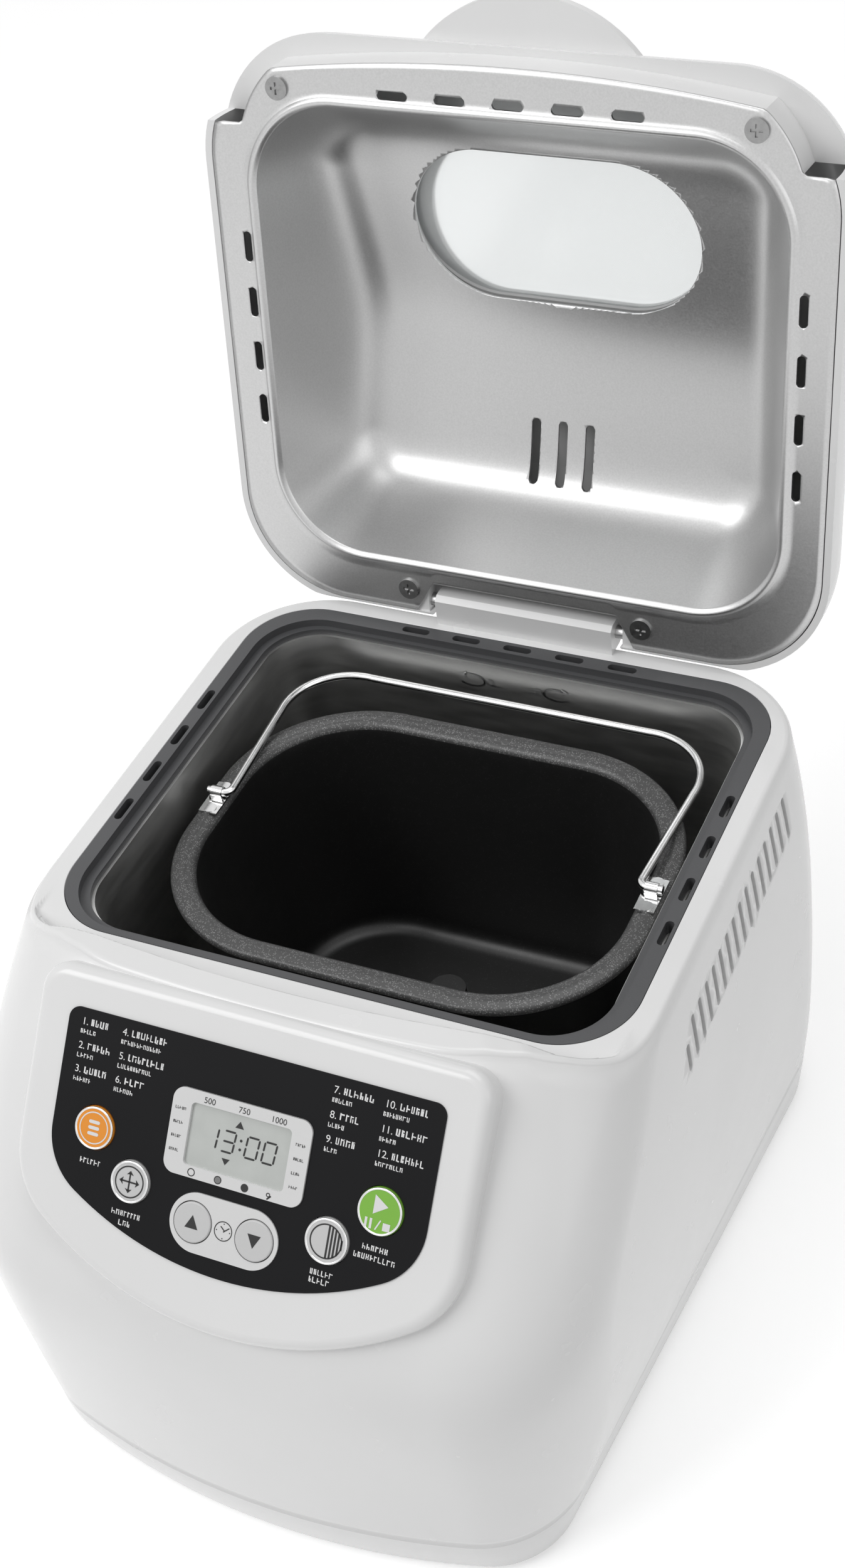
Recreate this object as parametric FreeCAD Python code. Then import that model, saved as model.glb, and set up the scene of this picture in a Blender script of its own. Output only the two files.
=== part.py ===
import FreeCAD, Part
import math
import os

# Bread machine with its lid open, millimetres, +Z up, X to the right, the
# control panel facing -Y. Heights marked "level" are counted from the deck.
V = FreeCAD.Vector

# Overall
DECK_Z = 180.0
ORIGIN_SHIFT = 3.0
WALL = 2.5
PART_LEVEL = -160.0
FLOOR_LEVEL = -177.0
CREST_LEVEL = 14.0
REAR_Y = 101.0
REAR_R = 40.0
# level, front half width, rear half width, front, bow radius, front corner radius
BODY = (
    (-177.0, 98.0, 114.0, -178.0, 270.0, 30.0),
    (-170.0, 99.6, 115.0, -180.0, 270.0, 33.0),
    (-160.0, 102.0, 116.0, -181.2, 275.0, 38.0),
    (-145.0, 105.9, 117.5, -181.7, 290.0, 42.0),
    (-128.0, 109.4, 118.5, -181.8, 325.0, 46.0),
    (-110.0, 111.9, 118.9, -181.5, 390.0, 48.0),
    (-92.0, 113.5, 119.0, -180.6, 490.0, 48.5),
    (-79.0, 114.2, 118.8, -178.9, 590.0, 48.5),
    (-69.0, 114.5, 118.6, -175.9, 670.0, 48.5),
    (-60.0, 114.6, 118.3, -171.4, 730.0, 48.5),
    (-50.0, 114.6, 117.7, -164.4, 780.0, 49.0),
    (-36.0, 114.4, 116.6, -153.2, 790.0, 50.5),
    (-18.0, 113.3, 114.3, -138.6, 760.0, 54.0),
    (0.0, 111.0, 111.3, -123.8, 700.0, 58.0),
    (14.0, 107.0, 109.8, -112.3, 700.0, 58.0),
)
CONSOLE_BACK = -101.6
CONSOLE_FLAT = 80.0
SHOULDER_X = 102.5
SHOULDER_Y = -78.0
SHOULDER_FOOT = -77.5
SHOULDER_TOP = -103.6

# Deck frame and baking chamber
DECK = (102.8, -86.3, 92.7, 26.0)
DECK_STEP = (97.5, -84.0, 86.6, 23.0)
DECK_HOLE = (94.3, -81.2, 84.8, 21.0)
DECK_FIT = 0.3
DECK_T = 2.5
DECK_FLANGE = 4.0
DECK_FLANGE_T = 3.0
STEP_DEPTH = 3.0
SLOT_X = 100.2
SLOT_PITCH = 20.6
SLOT_LEN = 11.0
SLOT_W = 3.0
SLOT_REAR_Y = 89.7
LINER = (93.3, -80.2, 83.8, 20.0)
LINER_T = 1.0
LINER_RIM = 6.0
CHAMBER_FLOOR = 45.0

# Side vents
VENT_COUNT = 16
VENT_PITCH = 6.9
VENT_Y0 = -53.0
VENT_H = 17.5
VENT_W = 2.6
VENT_TOP_FRONT = -18.6
VENT_TOP_REAR = -10.3
VENT_SHORT = 6.0

# Control panel plane
PANEL_Y = -123.07
PANEL_LEVEL = 5.67
PANEL_TILT = 50.5
FASCIA_DEPTH = 11.0
FASCIA_FACE = 3.0
FASCIA_ROUND = 4.0
FASCIA_GAP = 0.4
# half width, top, top corner radius, bow radius, lower corner radius, bottom
FASCIA = (78.5, -13.5, 10.0, 116.4, 30.0, 90.0)
OVERLAY = (65.5, -1.0, 4.0, 111.5, 22.0, 71.0)
OVERLAY_T = 0.45
BEZEL = (24.2, 14.8, 42.2, 4.0)
BEZEL_T = 1.1
LCD_HOLE = (17.5, 18.7, 38.5, 1.5)
LCD = (21.5, 16.2, 40.8, 1.0)
LCD_T = 3.0
PRINT_GAP = 0.15
CAPSULE_V = 55.6
CAPSULE_HALF = 9.4
CAPSULE_R = 9.5
CAPSULE_T = 0.9
BUTTONS = {
    "menu_button": (-50.0, 35.5, 7.3),
    "size_button": (-34.5, 49.0, 7.2),
    "crust_button": (34.5, 49.0, 7.6),
    "start_button": (50.0, 35.5, 7.8),
    "time_up_button": (-10.8, 55.6, 6.8),
    "time_down_button": (10.8, 55.6, 6.8),
}
BUTTON_FIT = 0.35
BUTTON_PROUD = 1.4
BUTTON_FLANGE = 0.9
BUTTON_FLANGE_T = 1.0
BUTTON_BACK = 0.4
BUTTON_STEM_R = 2.5
BUTTON_STEM = 3.0
BUTTON_ROUND = 0.5
BOARD_T = 1.6
BOARD_BACK = 16.0
BOARD = (60.0, 20.0, 72.0, 2.0)
SWITCH_TOP = 9.2
SWITCH_HALF = 3.0
BOARD_POSTS = ((-56.5, 25.0), (56.5, 25.0), (-22.0, 67.0), (22.0, 67.0))
POST_R = 2.6

# Lid, built shut and turned open about the hinge
HINGE_Y = 102.15
HINGE_LEVEL = 6.5
LID_LEVEL = 1.56
LID_OPEN = 98.55
LID_LINER_T = 1.0
LID_STEP_U = 75.0
LID_LOBE = ((98.6, 75.0), (93.5, 86.0), (86.0, 94.5), 100.7)
LID_SIDE = ((107.0, 75.0), (110.2, 45.0), (111.4, 10.0), (111.0, -25.0), (109.3, -55.0))
LID_CORNER = (96.0, -86.5)
LID_REAR = ((68.0, -101.8), -105.5)
NOTCH_X = 38.0
NOTCH_U = -92.8
NOTCH_R = 10.2
KNUCKLE_R = 6.0
DOME_FOOT = (95.3, -83.3, 84.1, 32.0)
DOME_TOP = (77.0, -66.0, 68.0, 28.0)
DOME_TOP_D = 52.0
ROOF_FRONT = (62.7, 31.5, 0.2596)
ROOF_RIDGE = (5.5, 49.2)
ROOF_REAR = 0.1635
BEAD = (97.6, -85.9, 86.7, 34.0)
BEAD_HALF = 2.9
BEAD_H = 1.2
LID_SLOT_X = 100.9
LID_SLOT_U = 88.6
WINDOW_U = 32.9
WINDOW_HALF = 24.0
WINDOW_R = 29.5
WINDOW_LAP = 4.0
SEAL_T = 1.4
GLASS_T = 3.0
LID_VENT_X = 10.65
LID_VENT_U = (-65.0, -41.0)
LID_VENT_W = 3.6
# depth, half width, front, rear, corner radius
SHELL = (
    (0.0, 114.3, -103.0, 107.9, 42.0),
    (12.0, 113.8, -103.5, 107.8, 42.0),
    (28.0, 110.0, -99.0, 104.5, 42.0),
    (42.0, 101.0, -89.0, 95.0, 42.0),
    (52.0, 84.0, -71.0, 78.0, 40.0),
    (57.0, 60.0, -46.0, 54.0, 34.0),
)
CHANNEL_D = 13.5
TAB_X = 27.0
TAB_TIP = 119.0
TAB_D = 19.0
TAB_T = 3.2
EAR_X0 = 38.6
EAR_T = 5.0
PIN_R = 2.5
PIN_FIT = 0.05
PIN_HALF = 45.0
BLOCK_HALF = 35.0
BLOCK = ((96.0, 0.0), (96.0, 10.4), (98.2, 12.0), (105.5, 12.2), (107.2, 10.0), (107.2, 1.2), (104.0, 0.0))
LID_SCREWS = ((-83.8, 88.1), (83.8, 88.1), (-46.0, -96.5), (46.0, -96.5))
SCREW_HEAD_R = 4.0
SCREW_HEAD_T = 0.9
SCREW_R = 1.6
SCREW_LEN = 9.0
BOSS_R = 4.5
CROSS_W = 1.0
BASE_SLOT_DEPTH = 0.8
CROSS_L = 4.2

# Pan, handle and paddle
PAN_RIM = (88.2, 65.7, 50.0)
PAN_MOUTH = (79.0, 56.5, 43.0)
PAN_FOOT_IN = (75.0, 52.5, 40.0)
PAN_T = 1.5
PAN_RIM_TOP = 161.2
PAN_RIM_T = 4.0
PAN_RIM_ROUND = 1.7
PAN_BASE = 57.0
PAN_ROUND = 7.0
PAN_RING = (30.4, 26.0)
PAN_RING_LOW = 47.0
LUG_R = 34.0
LUG_HALF = 5.0
LUG_T = 3.0
WIRE_R = 1.5
PIVOT_Y = 2.0
PIVOT_Z = 163.9
GRIP_Y = 76.7
GRIP_X = 82.9
GRIP_R = 29.0
LEG_X = 78.4
LEG_BEND = 3.0
PIN_END_X = 87.0
EYE_X = (81.0, 85.4)
EYE_R = 2.1
EYE_FIT = 0.08
CLIP_T = 0.6
CLIP_X = (79.6, 86.8)
CLIP_Y = (-7.0, 9.0)
RIVET_R = 1.5
RIVET_Y = (-4.8, 6.8)
BUSH = (9.0, PAN_BASE - 3.8, PAN_BASE + 7.0)
SHAFT_R = 4.0
SHAFT_FIT = 0.05
SHAFT = (50.0, PAN_BASE + 29.0)
WING = (18.0, 3.5, 50.0, 52.6)
WING_HUB = 6.2
HUB = (9.0, PAN_BASE + 8.0, PAN_BASE + 32.0)
BLADE_REACH = 46.0
BLADE_H = 19.0
BLADE_T = 4.0

# Drive under the chamber
SPINDLE_R = 5.0
SPINDLE = (9.0, 49.0)
DOG = (19.0, 47.0, 49.0)
PRONG = (14.0, 6.6, 2.5, 54.0)
BEARING = ((16.0, 32.0, 36.0), (10.0, 32.0, 46.5))
SOCKET = (37.0, 31.0, 56.0)
SOCKET_NOTCH = 7.0
PULLEY_Z = (12.0, 22.0)
PULLEY_R = 32.0
PULLEY_RIM = 1.2
MOTOR_Y = -128.0
MOTOR_PULLEY_R = 8.0
BELT_GAP = 0.4
BELT_T = 2.0
BELT_Z = (13.6, 20.4)
MOTOR_R = 29.0
MOTOR_Z = (32.0, 92.0)
MOTOR_SHAFT_R = 3.0
MOTOR_SHAFT = (10.0, 104.0)
FAN = (22.0, 95.0, 101.0)
PLATE = (48.0, -160.0, 48.0, 10.0)
PLATE_Z = (30.0, 32.0)
POSTS = ((-40.0, -150.0), (40.0, -150.0), (-40.0, 38.0), (40.0, 38.0))
POST_BIG_R = 6.0
TRAY_TOP = 5.5
BASE_SCREW_R = 1.8
BASE_HEAD_R = 4.0
BASE_HEAD_T = 1.4
FOOT_R = 9.0
FEET = ((-78.0, 66.0), (78.0, 66.0), (-62.0, -140.0), (62.0, -140.0))

# Heater, sensor and electrics
HEATER = (86.5, -69.5, 73.5, 24.0)
HEATER_R = 3.2
HEATER_Z = 62.0
HEATER_LEAD_X = 12.0
HEATER_BEND = 5.0
HEATER_OUT = -96.0
CRADLE_W = 6.0
CRADLE_T = 2.4
SENSOR = (42.0, 92.0, 3.0, -98.0, -74.0)
CAPACITOR = (68.0, -122.0, 14.0, 44.0)
POWER_X = -66.0
POWER_Y = (-158.0, -100.0)
POWER_Z = 62.0
GLAND = (62.0, 30.0, 6.0, 9.0, 3.2)
GLAND_OUT = 4.0
GLAND_IN = 8.0


def level(z):
    return DECK_Z + z


def arc(a, b, c):
    return Part.Arc(a, b, c).toShape()


def line(a, b):
    return Part.makeLine(a, b)


def prism(wire, h):
    return Part.Face(wire).extrude(V(0, 0, h))


def rrect(spec, z, grow=0.0):
    xh, y0, y1, r = spec
    xh = xh + grow
    y0 = y0 - grow
    y1 = y1 + grow
    r = r + grow
    k = r * (1 - math.sqrt(0.5))
    pts = [V(xh, y0 + r, z), V(xh, y1 - r, z), V(xh - r, y1, z), V(r - xh, y1, z),
           V(-xh, y1 - r, z), V(-xh, y0 + r, z), V(r - xh, y0, z), V(xh - r, y0, z)]
    mids = [V(xh - k, y1 - k, z), V(k - xh, y1 - k, z), V(k - xh, y0 + k, z), V(xh - k, y0 + k, z)]
    edges = []
    for i in range(4):
        edges.append(line(pts[2 * i], pts[2 * i + 1]))
        edges.append(arc(pts[2 * i + 1], mids[i], pts[(2 * i + 2) % 8]))
    return Part.Wire(edges)


def block(spec, z0, z1, grow=0.0):
    return prism(rrect(spec, z0, grow), z1 - z0)


def box(x0, x1, y0, y1, z0, z1):
    return Part.makeBox(x1 - x0, y1 - y0, z1 - z0, V(x0, y0, z0))


def rod(x, y, r, z0, z1):
    return Part.makeCylinder(r, z1 - z0, V(x, y, z0))


def stadium(cx, cy, half, r, z, along_x=True):
    d = V(1, 0, 0) if along_x else V(0, 1, 0)
    n = V(-d.y, d.x, 0)
    c = V(cx, cy, z)
    a = c + d * half
    b = c - d * half
    return Part.Wire([line(b - n * r, a - n * r), arc(a - n * r, a + d * r, a + n * r),
                      line(a + n * r, b + n * r), arc(b + n * r, b - d * r, b - n * r)])


def fuse(shapes):
    return shapes[0].multiFuse(shapes[1:]).removeSplitter()


def plan(row, inset=0.0):
    z, wf, wr, yf, rb, rf = row
    z = level(z)
    ax = wr - REAR_R
    ay = REAR_Y - REAR_R
    yc = yf + rb
    bx = wf - rf
    by = yc - math.sqrt((rb - rf) ** 2 - bx ** 2)
    reach = math.hypot(bx - ax, by - ay)
    lean = math.atan2(by - ay, bx - ax) + math.acos((REAR_R - rf) / reach)
    swing = math.atan2(by - yc, bx)
    r_rear = REAR_R - inset
    r_front = rf - inset

    def at(cx, cy, r, a):
        return V(cx + r * math.cos(a), cy + r * math.sin(a), z)

    def flip(p):
        return V(-p.x, p.y, p.z)

    half = math.pi / 2
    side_f = at(bx, by, r_front, lean)
    side_r = at(ax, ay, r_rear, lean)
    rear_m = at(ax, ay, r_rear, (lean + half) / 2)
    rear = at(ax, ay, r_rear, half)
    front_m = at(bx, by, r_front, (lean + swing) / 2)
    front = at(bx, by, r_front, swing)
    nose = V(0, yf + inset, z)
    return Part.Wire([line(side_f, side_r), arc(side_r, rear_m, rear), line(rear, flip(rear)),
                      arc(flip(rear), flip(rear_m), flip(side_r)), line(flip(side_r), flip(side_f)),
                      arc(flip(side_f), flip(front_m), flip(front)), arc(flip(front), nose, front),
                      arc(front, front_m, side_f)])


def loft(wires):
    return Part.makeLoft(wires, True, False)


def console_void(grow, low):
    back = CONSOLE_BACK - grow
    flat = CONSOLE_FLAT
    far = 140.0
    sx = SHOULDER_X + grow
    sy = SHOULDER_Y - grow
    k = math.sqrt(0.5)
    mid_x = flat + (sx - flat) * k
    mid_y = sy + (back - sy) * k
    pts = [V(-far, sy, low), V(-sx, sy, low), V(-flat, back, low), V(flat, back, low), V(sx, sy, low),
           V(far, sy, low), V(far, far, low), V(-far, far, low)]
    edges = [line(pts[0], pts[1]), arc(pts[1], V(-mid_x, mid_y, low), pts[2]), line(pts[2], pts[3]),
             arc(pts[3], V(mid_x, mid_y, low), pts[4]), line(pts[4], pts[5]), line(pts[5], pts[6]),
             line(pts[6], pts[7]), line(pts[7], pts[0])]
    void = prism(Part.Wire(edges), far)
    ramp = Part.makePolygon([V(-far, SHOULDER_FOOT, low), V(-far, SHOULDER_TOP, low + CREST_LEVEL + 1),
                             V(-far, SHOULDER_TOP, low + far), V(-far, far, low + far), V(-far, far, low),
                             V(-far, SHOULDER_FOOT, low)])
    return void.fuse(Part.Face(ramp).extrude(V(2 * far, 0, 0)))


def on_panel(shape):
    shape = shape.copy()
    shape.Placement = FreeCAD.Placement(V(0, PANEL_Y, level(PANEL_LEVEL)),
                                        FreeCAD.Rotation(V(1, 0, 0), PANEL_TILT))
    return shape


def panel_outline(spec, t, grow=0.0):
    hw, top, r, bow, rc, bottom = spec
    cv = bottom - bow
    hw = hw + grow
    top = top - grow
    r = r + grow
    bow = bow + grow
    rc = rc + grow
    bottom = bottom + grow
    cx = hw - rc
    cy = cv + math.sqrt((bow - rc) ** 2 - cx ** 2)
    turn = math.atan2(cy - cv, cx)
    lx = cx + rc * math.cos(turn)
    ly = cy + rc * math.sin(turn)
    mx = cx + rc * math.cos(turn / 2)
    my = cy + rc * math.sin(turn / 2)
    k = r * (1 - math.sqrt(0.5))
    return Part.Wire([
        line(V(r - hw, -top, t), V(hw - r, -top, t)),
        arc(V(hw - r, -top, t), V(hw - k, -top - k, t), V(hw, -top - r, t)),
        line(V(hw, -top - r, t), V(hw, -cy, t)),
        arc(V(hw, -cy, t), V(mx, -my, t), V(lx, -ly, t)),
        arc(V(lx, -ly, t), V(0, -bottom, t), V(-lx, -ly, t)),
        arc(V(-lx, -ly, t), V(-mx, -my, t), V(-hw, -cy, t)),
        line(V(-hw, -cy, t), V(-hw, -top - r, t)),
        arc(V(-hw, -top - r, t), V(k - hw, -top - k, t), V(r - hw, -top, t))])


def panel_rect(spec, t0, t1, grow=0.0):
    hw, top, bottom, r = spec
    return block((hw, -bottom, -top, r), t0, t1, grow)


def capsule(t0, t1, grow=0.0):
    return prism(stadium(0, -CAPSULE_V, CAPSULE_HALF, CAPSULE_R + grow, t0), t1 - t0)


def save(name, shape):
    shape = shape.copy()
    shape.translate(V(0, ORIGIN_SHIFT, 0))
    shape.exportStep("parts/" + name + ".step")


# Body shell: lofted walls, raised console, ledge round the deck, side vents
outer = loft([plan(row) for row in BODY[2:]]).cut(console_void(0.0, level(0)))
inner_rows = [row for row in BODY[2:-1]]
inner = loft([plan(row, WALL) for row in inner_rows])
inner = inner.cut(box(-200, 200, -300, 200, level(-WALL), level(40)))
shell = outer.cut(inner)
shell = shell.cut(block(DECK, level(-12), level(6), DECK_FIT))
shell = shell.cut(on_panel(prism(panel_outline(FASCIA, -FASCIA_DEPTH - 1, FASCIA_GAP), 60)))
cuts = []
for i in range(VENT_COUNT):
    y = VENT_Y0 + VENT_PITCH * i
    top = VENT_TOP_FRONT + (VENT_TOP_REAR - VENT_TOP_FRONT) * i / (VENT_COUNT - 1)
    high = VENT_H
    if i == 0:
        top = top - VENT_SHORT
        high = high - VENT_SHORT
    r = VENT_W / 2
    slot = prism(stadium(-level(top) + high / 2, y, high / 2 - r, r, 90), 60)
    slot.rotate(V(0, 0, 0), V(0, 1, 0), 90)
    cuts.append(slot)
cuts.append(Part.makeCylinder(GLAND[2], 30, V(GLAND[0], REAR_Y - 15, GLAND[1]), V(0, 1, 0)))
shell = shell.cut(Part.makeCompound(cuts))
save("body_shell", shell)

# Base tray, feet and screws
tray = loft([plan(row) for row in BODY[:3]])
hollow = loft([plan(row, WALL) for row in BODY[:3]]).cut(box(-200, 200, -300, 200, 0, TRAY_TOP))
tray = tray.cut(hollow)
holes = []
screws = []
for x, y in POSTS:
    holes.append(rod(x, y, BASE_SCREW_R, 0, 10))
    holes.append(rod(x, y, BASE_HEAD_R, 0, level(FLOOR_LEVEL) + BASE_HEAD_T))
    head = rod(x, y, BASE_HEAD_R, level(FLOOR_LEVEL), level(FLOOR_LEVEL) + BASE_HEAD_T)
    shank = rod(x, y, BASE_SCREW_R, level(FLOOR_LEVEL) + BASE_HEAD_T, 20)
    slot_top = level(FLOOR_LEVEL) + BASE_SLOT_DEPTH
    slot = box(x - CROSS_L / 2, x + CROSS_L / 2, y - CROSS_W / 2, y + CROSS_W / 2, 0, slot_top)
    screws.append(head.fuse(shank).removeSplitter().cut(slot))
save("base_tray", tray.cut(Part.makeCompound(holes)))
save("base_screws", Part.makeCompound(screws))
foot_h = level(FLOOR_LEVEL)
feet = []
for x, y in FEET:
    pad = rod(x, y, FOOT_R, 0, foot_h)
    feet.append(pad.makeFillet(0.8, [e for e in pad.Edges if abs(e.BoundBox.ZMax) < 0.01]))
save("rubber_feet", Part.makeCompound(feet))

# Deck frame: outer slotted band, step down, inner band, hidden flange
deck = block(DECK, level(-DECK_T), level(0))
deck = deck.fuse(block(DECK, level(-DECK_T - DECK_FLANGE_T), level(-DECK_T), DECK_FLANGE)).removeSplitter()
deck = deck.cut(block(DECK_STEP, level(-STEP_DEPTH), level(5)))
deck = deck.cut(block(DECK_HOLE, level(-12), level(5)))
cuts = []
for k in (-1.5, -0.5, 0.5, 1.5):
    for sx in (-SLOT_X, SLOT_X):
        outline = stadium(sx, k * SLOT_PITCH, (SLOT_LEN - SLOT_W) / 2, SLOT_W / 2, level(-12), False)
        cuts.append(prism(outline, 20))
for k in (-2, -1, 0, 1, 2):
    outline = stadium(k * SLOT_PITCH, SLOT_REAR_Y, (SLOT_LEN - SLOT_W) / 2, SLOT_W / 2, level(-12))
    cuts.append(prism(outline, 20))
save("deck_frame", deck.cut(Part.makeCompound(cuts)))

# Baking chamber liner
rim_z = level(-DECK_T - DECK_FLANGE_T)
liner = block(LINER, CHAMBER_FLOOR - LINER_T, rim_z, LINER_T)
liner = liner.fuse(block(LINER, rim_z - LINER_T, rim_z, LINER_RIM)).removeSplitter()
liner = liner.cut(block(LINER, CHAMBER_FLOOR, rim_z + 1))
cuts = [rod(0, 0, BEARING[1][0], CHAMBER_FLOOR - 5, CHAMBER_FLOOR + 5)]
for sx in (-HEATER_LEAD_X, HEATER_LEAD_X):
    cuts.append(Part.makeCylinder(HEATER_R, 40, V(sx, LINER[1] - 20, HEATER_Z), V(0, 1, 0)))
cuts.append(Part.makeCylinder(SENSOR[2], 40, V(SENSOR[0], LINER[1] - 20, SENSOR[1]), V(0, 1, 0)))
save("oven_liner", liner.cut(Part.makeCompound(cuts)))

# Heating element: one tube round the pan with two leads through the front wall
hx, hy0, hy1, hr = HEATER
hk = hr * (1 - math.sqrt(0.5))
bk = HEATER_BEND * (1 - math.sqrt(0.5))
lx = HEATER_LEAD_X
hb = HEATER_BEND


def hp(x, y):
    return V(x, y, HEATER_Z)


path = Part.Wire([
    line(hp(-lx, HEATER_OUT), hp(-lx, hy0 - hb)),
    arc(hp(-lx, hy0 - hb), hp(-lx - bk, hy0 - bk), hp(-lx - hb, hy0)),
    line(hp(-lx - hb, hy0), hp(hr - hx, hy0)),
    arc(hp(hr - hx, hy0), hp(hk - hx, hy0 + hk), hp(-hx, hy0 + hr)),
    line(hp(-hx, hy0 + hr), hp(-hx, hy1 - hr)),
    arc(hp(-hx, hy1 - hr), hp(hk - hx, hy1 - hk), hp(hr - hx, hy1)),
    line(hp(hr - hx, hy1), hp(hx - hr, hy1)),
    arc(hp(hx - hr, hy1), hp(hx - hk, hy1 - hk), hp(hx, hy1 - hr)),
    line(hp(hx, hy1 - hr), hp(hx, hy0 + hr)),
    arc(hp(hx, hy0 + hr), hp(hx - hk, hy0 + hk), hp(hx - hr, hy0)),
    line(hp(hx - hr, hy0), hp(lx + hb, hy0)),
    arc(hp(lx + hb, hy0), hp(lx + bk, hy0 - bk), hp(lx, hy0 - hb)),
    line(hp(lx, hy0 - hb), hp(lx, HEATER_OUT))])
ring = Part.Wire([Part.makeCircle(HEATER_R, hp(-lx, HEATER_OUT), V(0, 1, 0))])
heater = path.makePipeShell([ring], True, True)
save("heating_element", heater)
cradles = []
for x, y, w, t in ((-hx, 0, CRADLE_T, CRADLE_W), (hx, 0, CRADLE_T, CRADLE_W), (-40, hy1, CRADLE_W, CRADLE_T),
                   (40, hy1, CRADLE_W, CRADLE_T)):
    bar = box(x - w, x + w, y - t / 2, y + t / 2, CHAMBER_FLOOR, HEATER_Z) if t > w else \
        box(x - w / 2, x + w / 2, y - t, y + t, CHAMBER_FLOOR, HEATER_Z)
    cradles.append(bar.cut(heater))
save("heater_cradles", Part.makeCompound(cradles))
sensor_end = V(SENSOR[0], SENSOR[3], SENSOR[1])
save("temperature_sensor", Part.makeCylinder(SENSOR[2], SENSOR[4] - SENSOR[3], sensor_end, V(0, 1, 0)))

# Pan socket, bearing, chassis and drive
socket = rod(0, 0, SOCKET[0], CHAMBER_FLOOR, SOCKET[2]).cut(rod(0, 0, SOCKET[1], CHAMBER_FLOOR, SOCKET[2]))
notch = box(-SOCKET[0] - 1, SOCKET[0] + 1, -SOCKET_NOTCH, SOCKET_NOTCH, PAN_RING_LOW + 0.5, SOCKET[2] + 1)
save("pan_socket", socket.cut(notch))
bearing = fuse([rod(0, 0, r, z0, z1) for r, z0, z1 in BEARING])
save("spindle_bearing", bearing.cut(rod(0, 0, SPINDLE_R + SHAFT_FIT, 0, 60)))
plate = block(PLATE, PLATE_Z[0], PLATE_Z[1])
plate = plate.cut(rod(0, 0, SPINDLE_R + 2, 20, 40)).cut(rod(0, MOTOR_Y, MOTOR_PULLEY_R, 20, 40))
save("chassis_plate", plate)
posts = []
for x, y in POSTS:
    posts.append(rod(x, y, POST_BIG_R, TRAY_TOP, PLATE_Z[0]).cut(rod(x, y, BASE_SCREW_R, 0, 20)))
save("chassis_posts", Part.makeCompound(posts))
save("drive_spindle", rod(0, 0, SPINDLE_R, SPINDLE[0], SPINDLE[1]))


def pulley(y, r, bore):
    z0, z1 = PULLEY_Z
    wheel = rod(0, y, r, z0, z1)
    for a, b in ((z0, z0 + 1.4), (z1 - 1.4, z1)):
        wheel = wheel.fuse(rod(0, y, r + PULLEY_RIM, a, b))
    return wheel.removeSplitter().cut(rod(0, y, bore, z0 - 1, z1 + 1))


wheel = pulley(0, PULLEY_R, SPINDLE_R)
web = []
for i in range(5):
    a = 2 * math.pi * i / 5
    web.append(rod(18.5 * math.cos(a), 18.5 * math.sin(a), 6.0, 0, 40))
save("driven_pulley", wheel.cut(Part.makeCompound(web)))
dog = rod(0, 0, DOG[0], DOG[1], DOG[2]).cut(rod(0, 0, SPINDLE_R, 40, 60))
for s in (-1, 1):
    dog = dog.fuse(rod(s * PRONG[0], s * PRONG[1], PRONG[2], DOG[1], PRONG[3]))
save("drive_dog", dog.removeSplitter())
save("motor_shaft", rod(0, MOTOR_Y, MOTOR_SHAFT_R, MOTOR_SHAFT[0], MOTOR_SHAFT[1]))
save("motor_pulley", pulley(MOTOR_Y, MOTOR_PULLEY_R, MOTOR_SHAFT_R))
fan = rod(0, MOTOR_Y, 7.0, FAN[1], FAN[2])
for i in range(7):
    blade = box(5.0, FAN[0], -0.8, 0.8, FAN[1], FAN[2])
    blade.rotate(V(0, 0, (FAN[1] + FAN[2]) / 2), V(1, 0, 0), 28)
    blade = blade.common(rod(0, 0, FAN[0], FAN[1], FAN[2]))
    blade.rotate(V(0, 0, 0), V(0, 0, 1), 360.0 * i / 7)
    blade.translate(V(0, MOTOR_Y, 0))
    fan = fan.fuse(blade)
save("motor_fan", fan.removeSplitter().cut(rod(0, MOTOR_Y, MOTOR_SHAFT_R, 80, 120)))
can = rod(0, MOTOR_Y, MOTOR_R, MOTOR_Z[0], MOTOR_Z[1])
can = can.makeFillet(3.0, [e for e in can.Edges if abs(e.BoundBox.ZMin - MOTOR_Z[1]) < 0.01])
save("motor_body", can.cut(rod(0, MOTOR_Y, MOTOR_SHAFT_R + SHAFT_FIT, 0, 120)))


def belt_loop(grow):
    r0 = PULLEY_R + BELT_GAP + grow
    r1 = MOTOR_PULLEY_R + BELT_GAP + grow
    z = BELT_Z[0]
    s = (r0 - r1) / -MOTOR_Y
    c = math.sqrt(1 - s * s)
    a = V(r0 * c, -r0 * s, z)
    b = V(r1 * c, MOTOR_Y - r1 * s, z)
    c = V(-a.x, a.y, z)
    d = V(-b.x, b.y, z)
    return Part.Wire([line(b, a), arc(a, V(0, r0, z), c), line(c, d), arc(d, V(0, MOTOR_Y - r1, z), b)])


belt_h = BELT_Z[1] - BELT_Z[0]
save("drive_belt", prism(belt_loop(BELT_T), belt_h).cut(prism(belt_loop(0.0), belt_h)))

# Electrics
cx, cy, cr, ch = CAPACITOR
can = rod(cx, cy, cr, TRAY_TOP, TRAY_TOP + ch)
save("capacitor", can.makeFillet(2.0, [e for e in can.Edges if abs(e.BoundBox.ZMin - TRAY_TOP - ch) < 0.01]))
power = box(POWER_X, POWER_X + BOARD_T, POWER_Y[0], POWER_Y[1], TRAY_TOP, TRAY_TOP + POWER_Z)
px = POWER_X + BOARD_T
power = power.fuse(box(px, px + 16, POWER_Y[0] + 12, POWER_Y[0] + 32, TRAY_TOP + 12, TRAY_TOP + 32))
power = power.fuse(box(px, px + 9, POWER_Y[0] + 38, POWER_Y[0] + 50, TRAY_TOP + 20, TRAY_TOP + 48))
save("power_board", power.removeSplitter())
gx, gz, gr, gf, gb = GLAND
gland = Part.makeCylinder(gr, GLAND_IN, V(gx, REAR_Y - GLAND_IN, gz), V(0, 1, 0))
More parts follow.
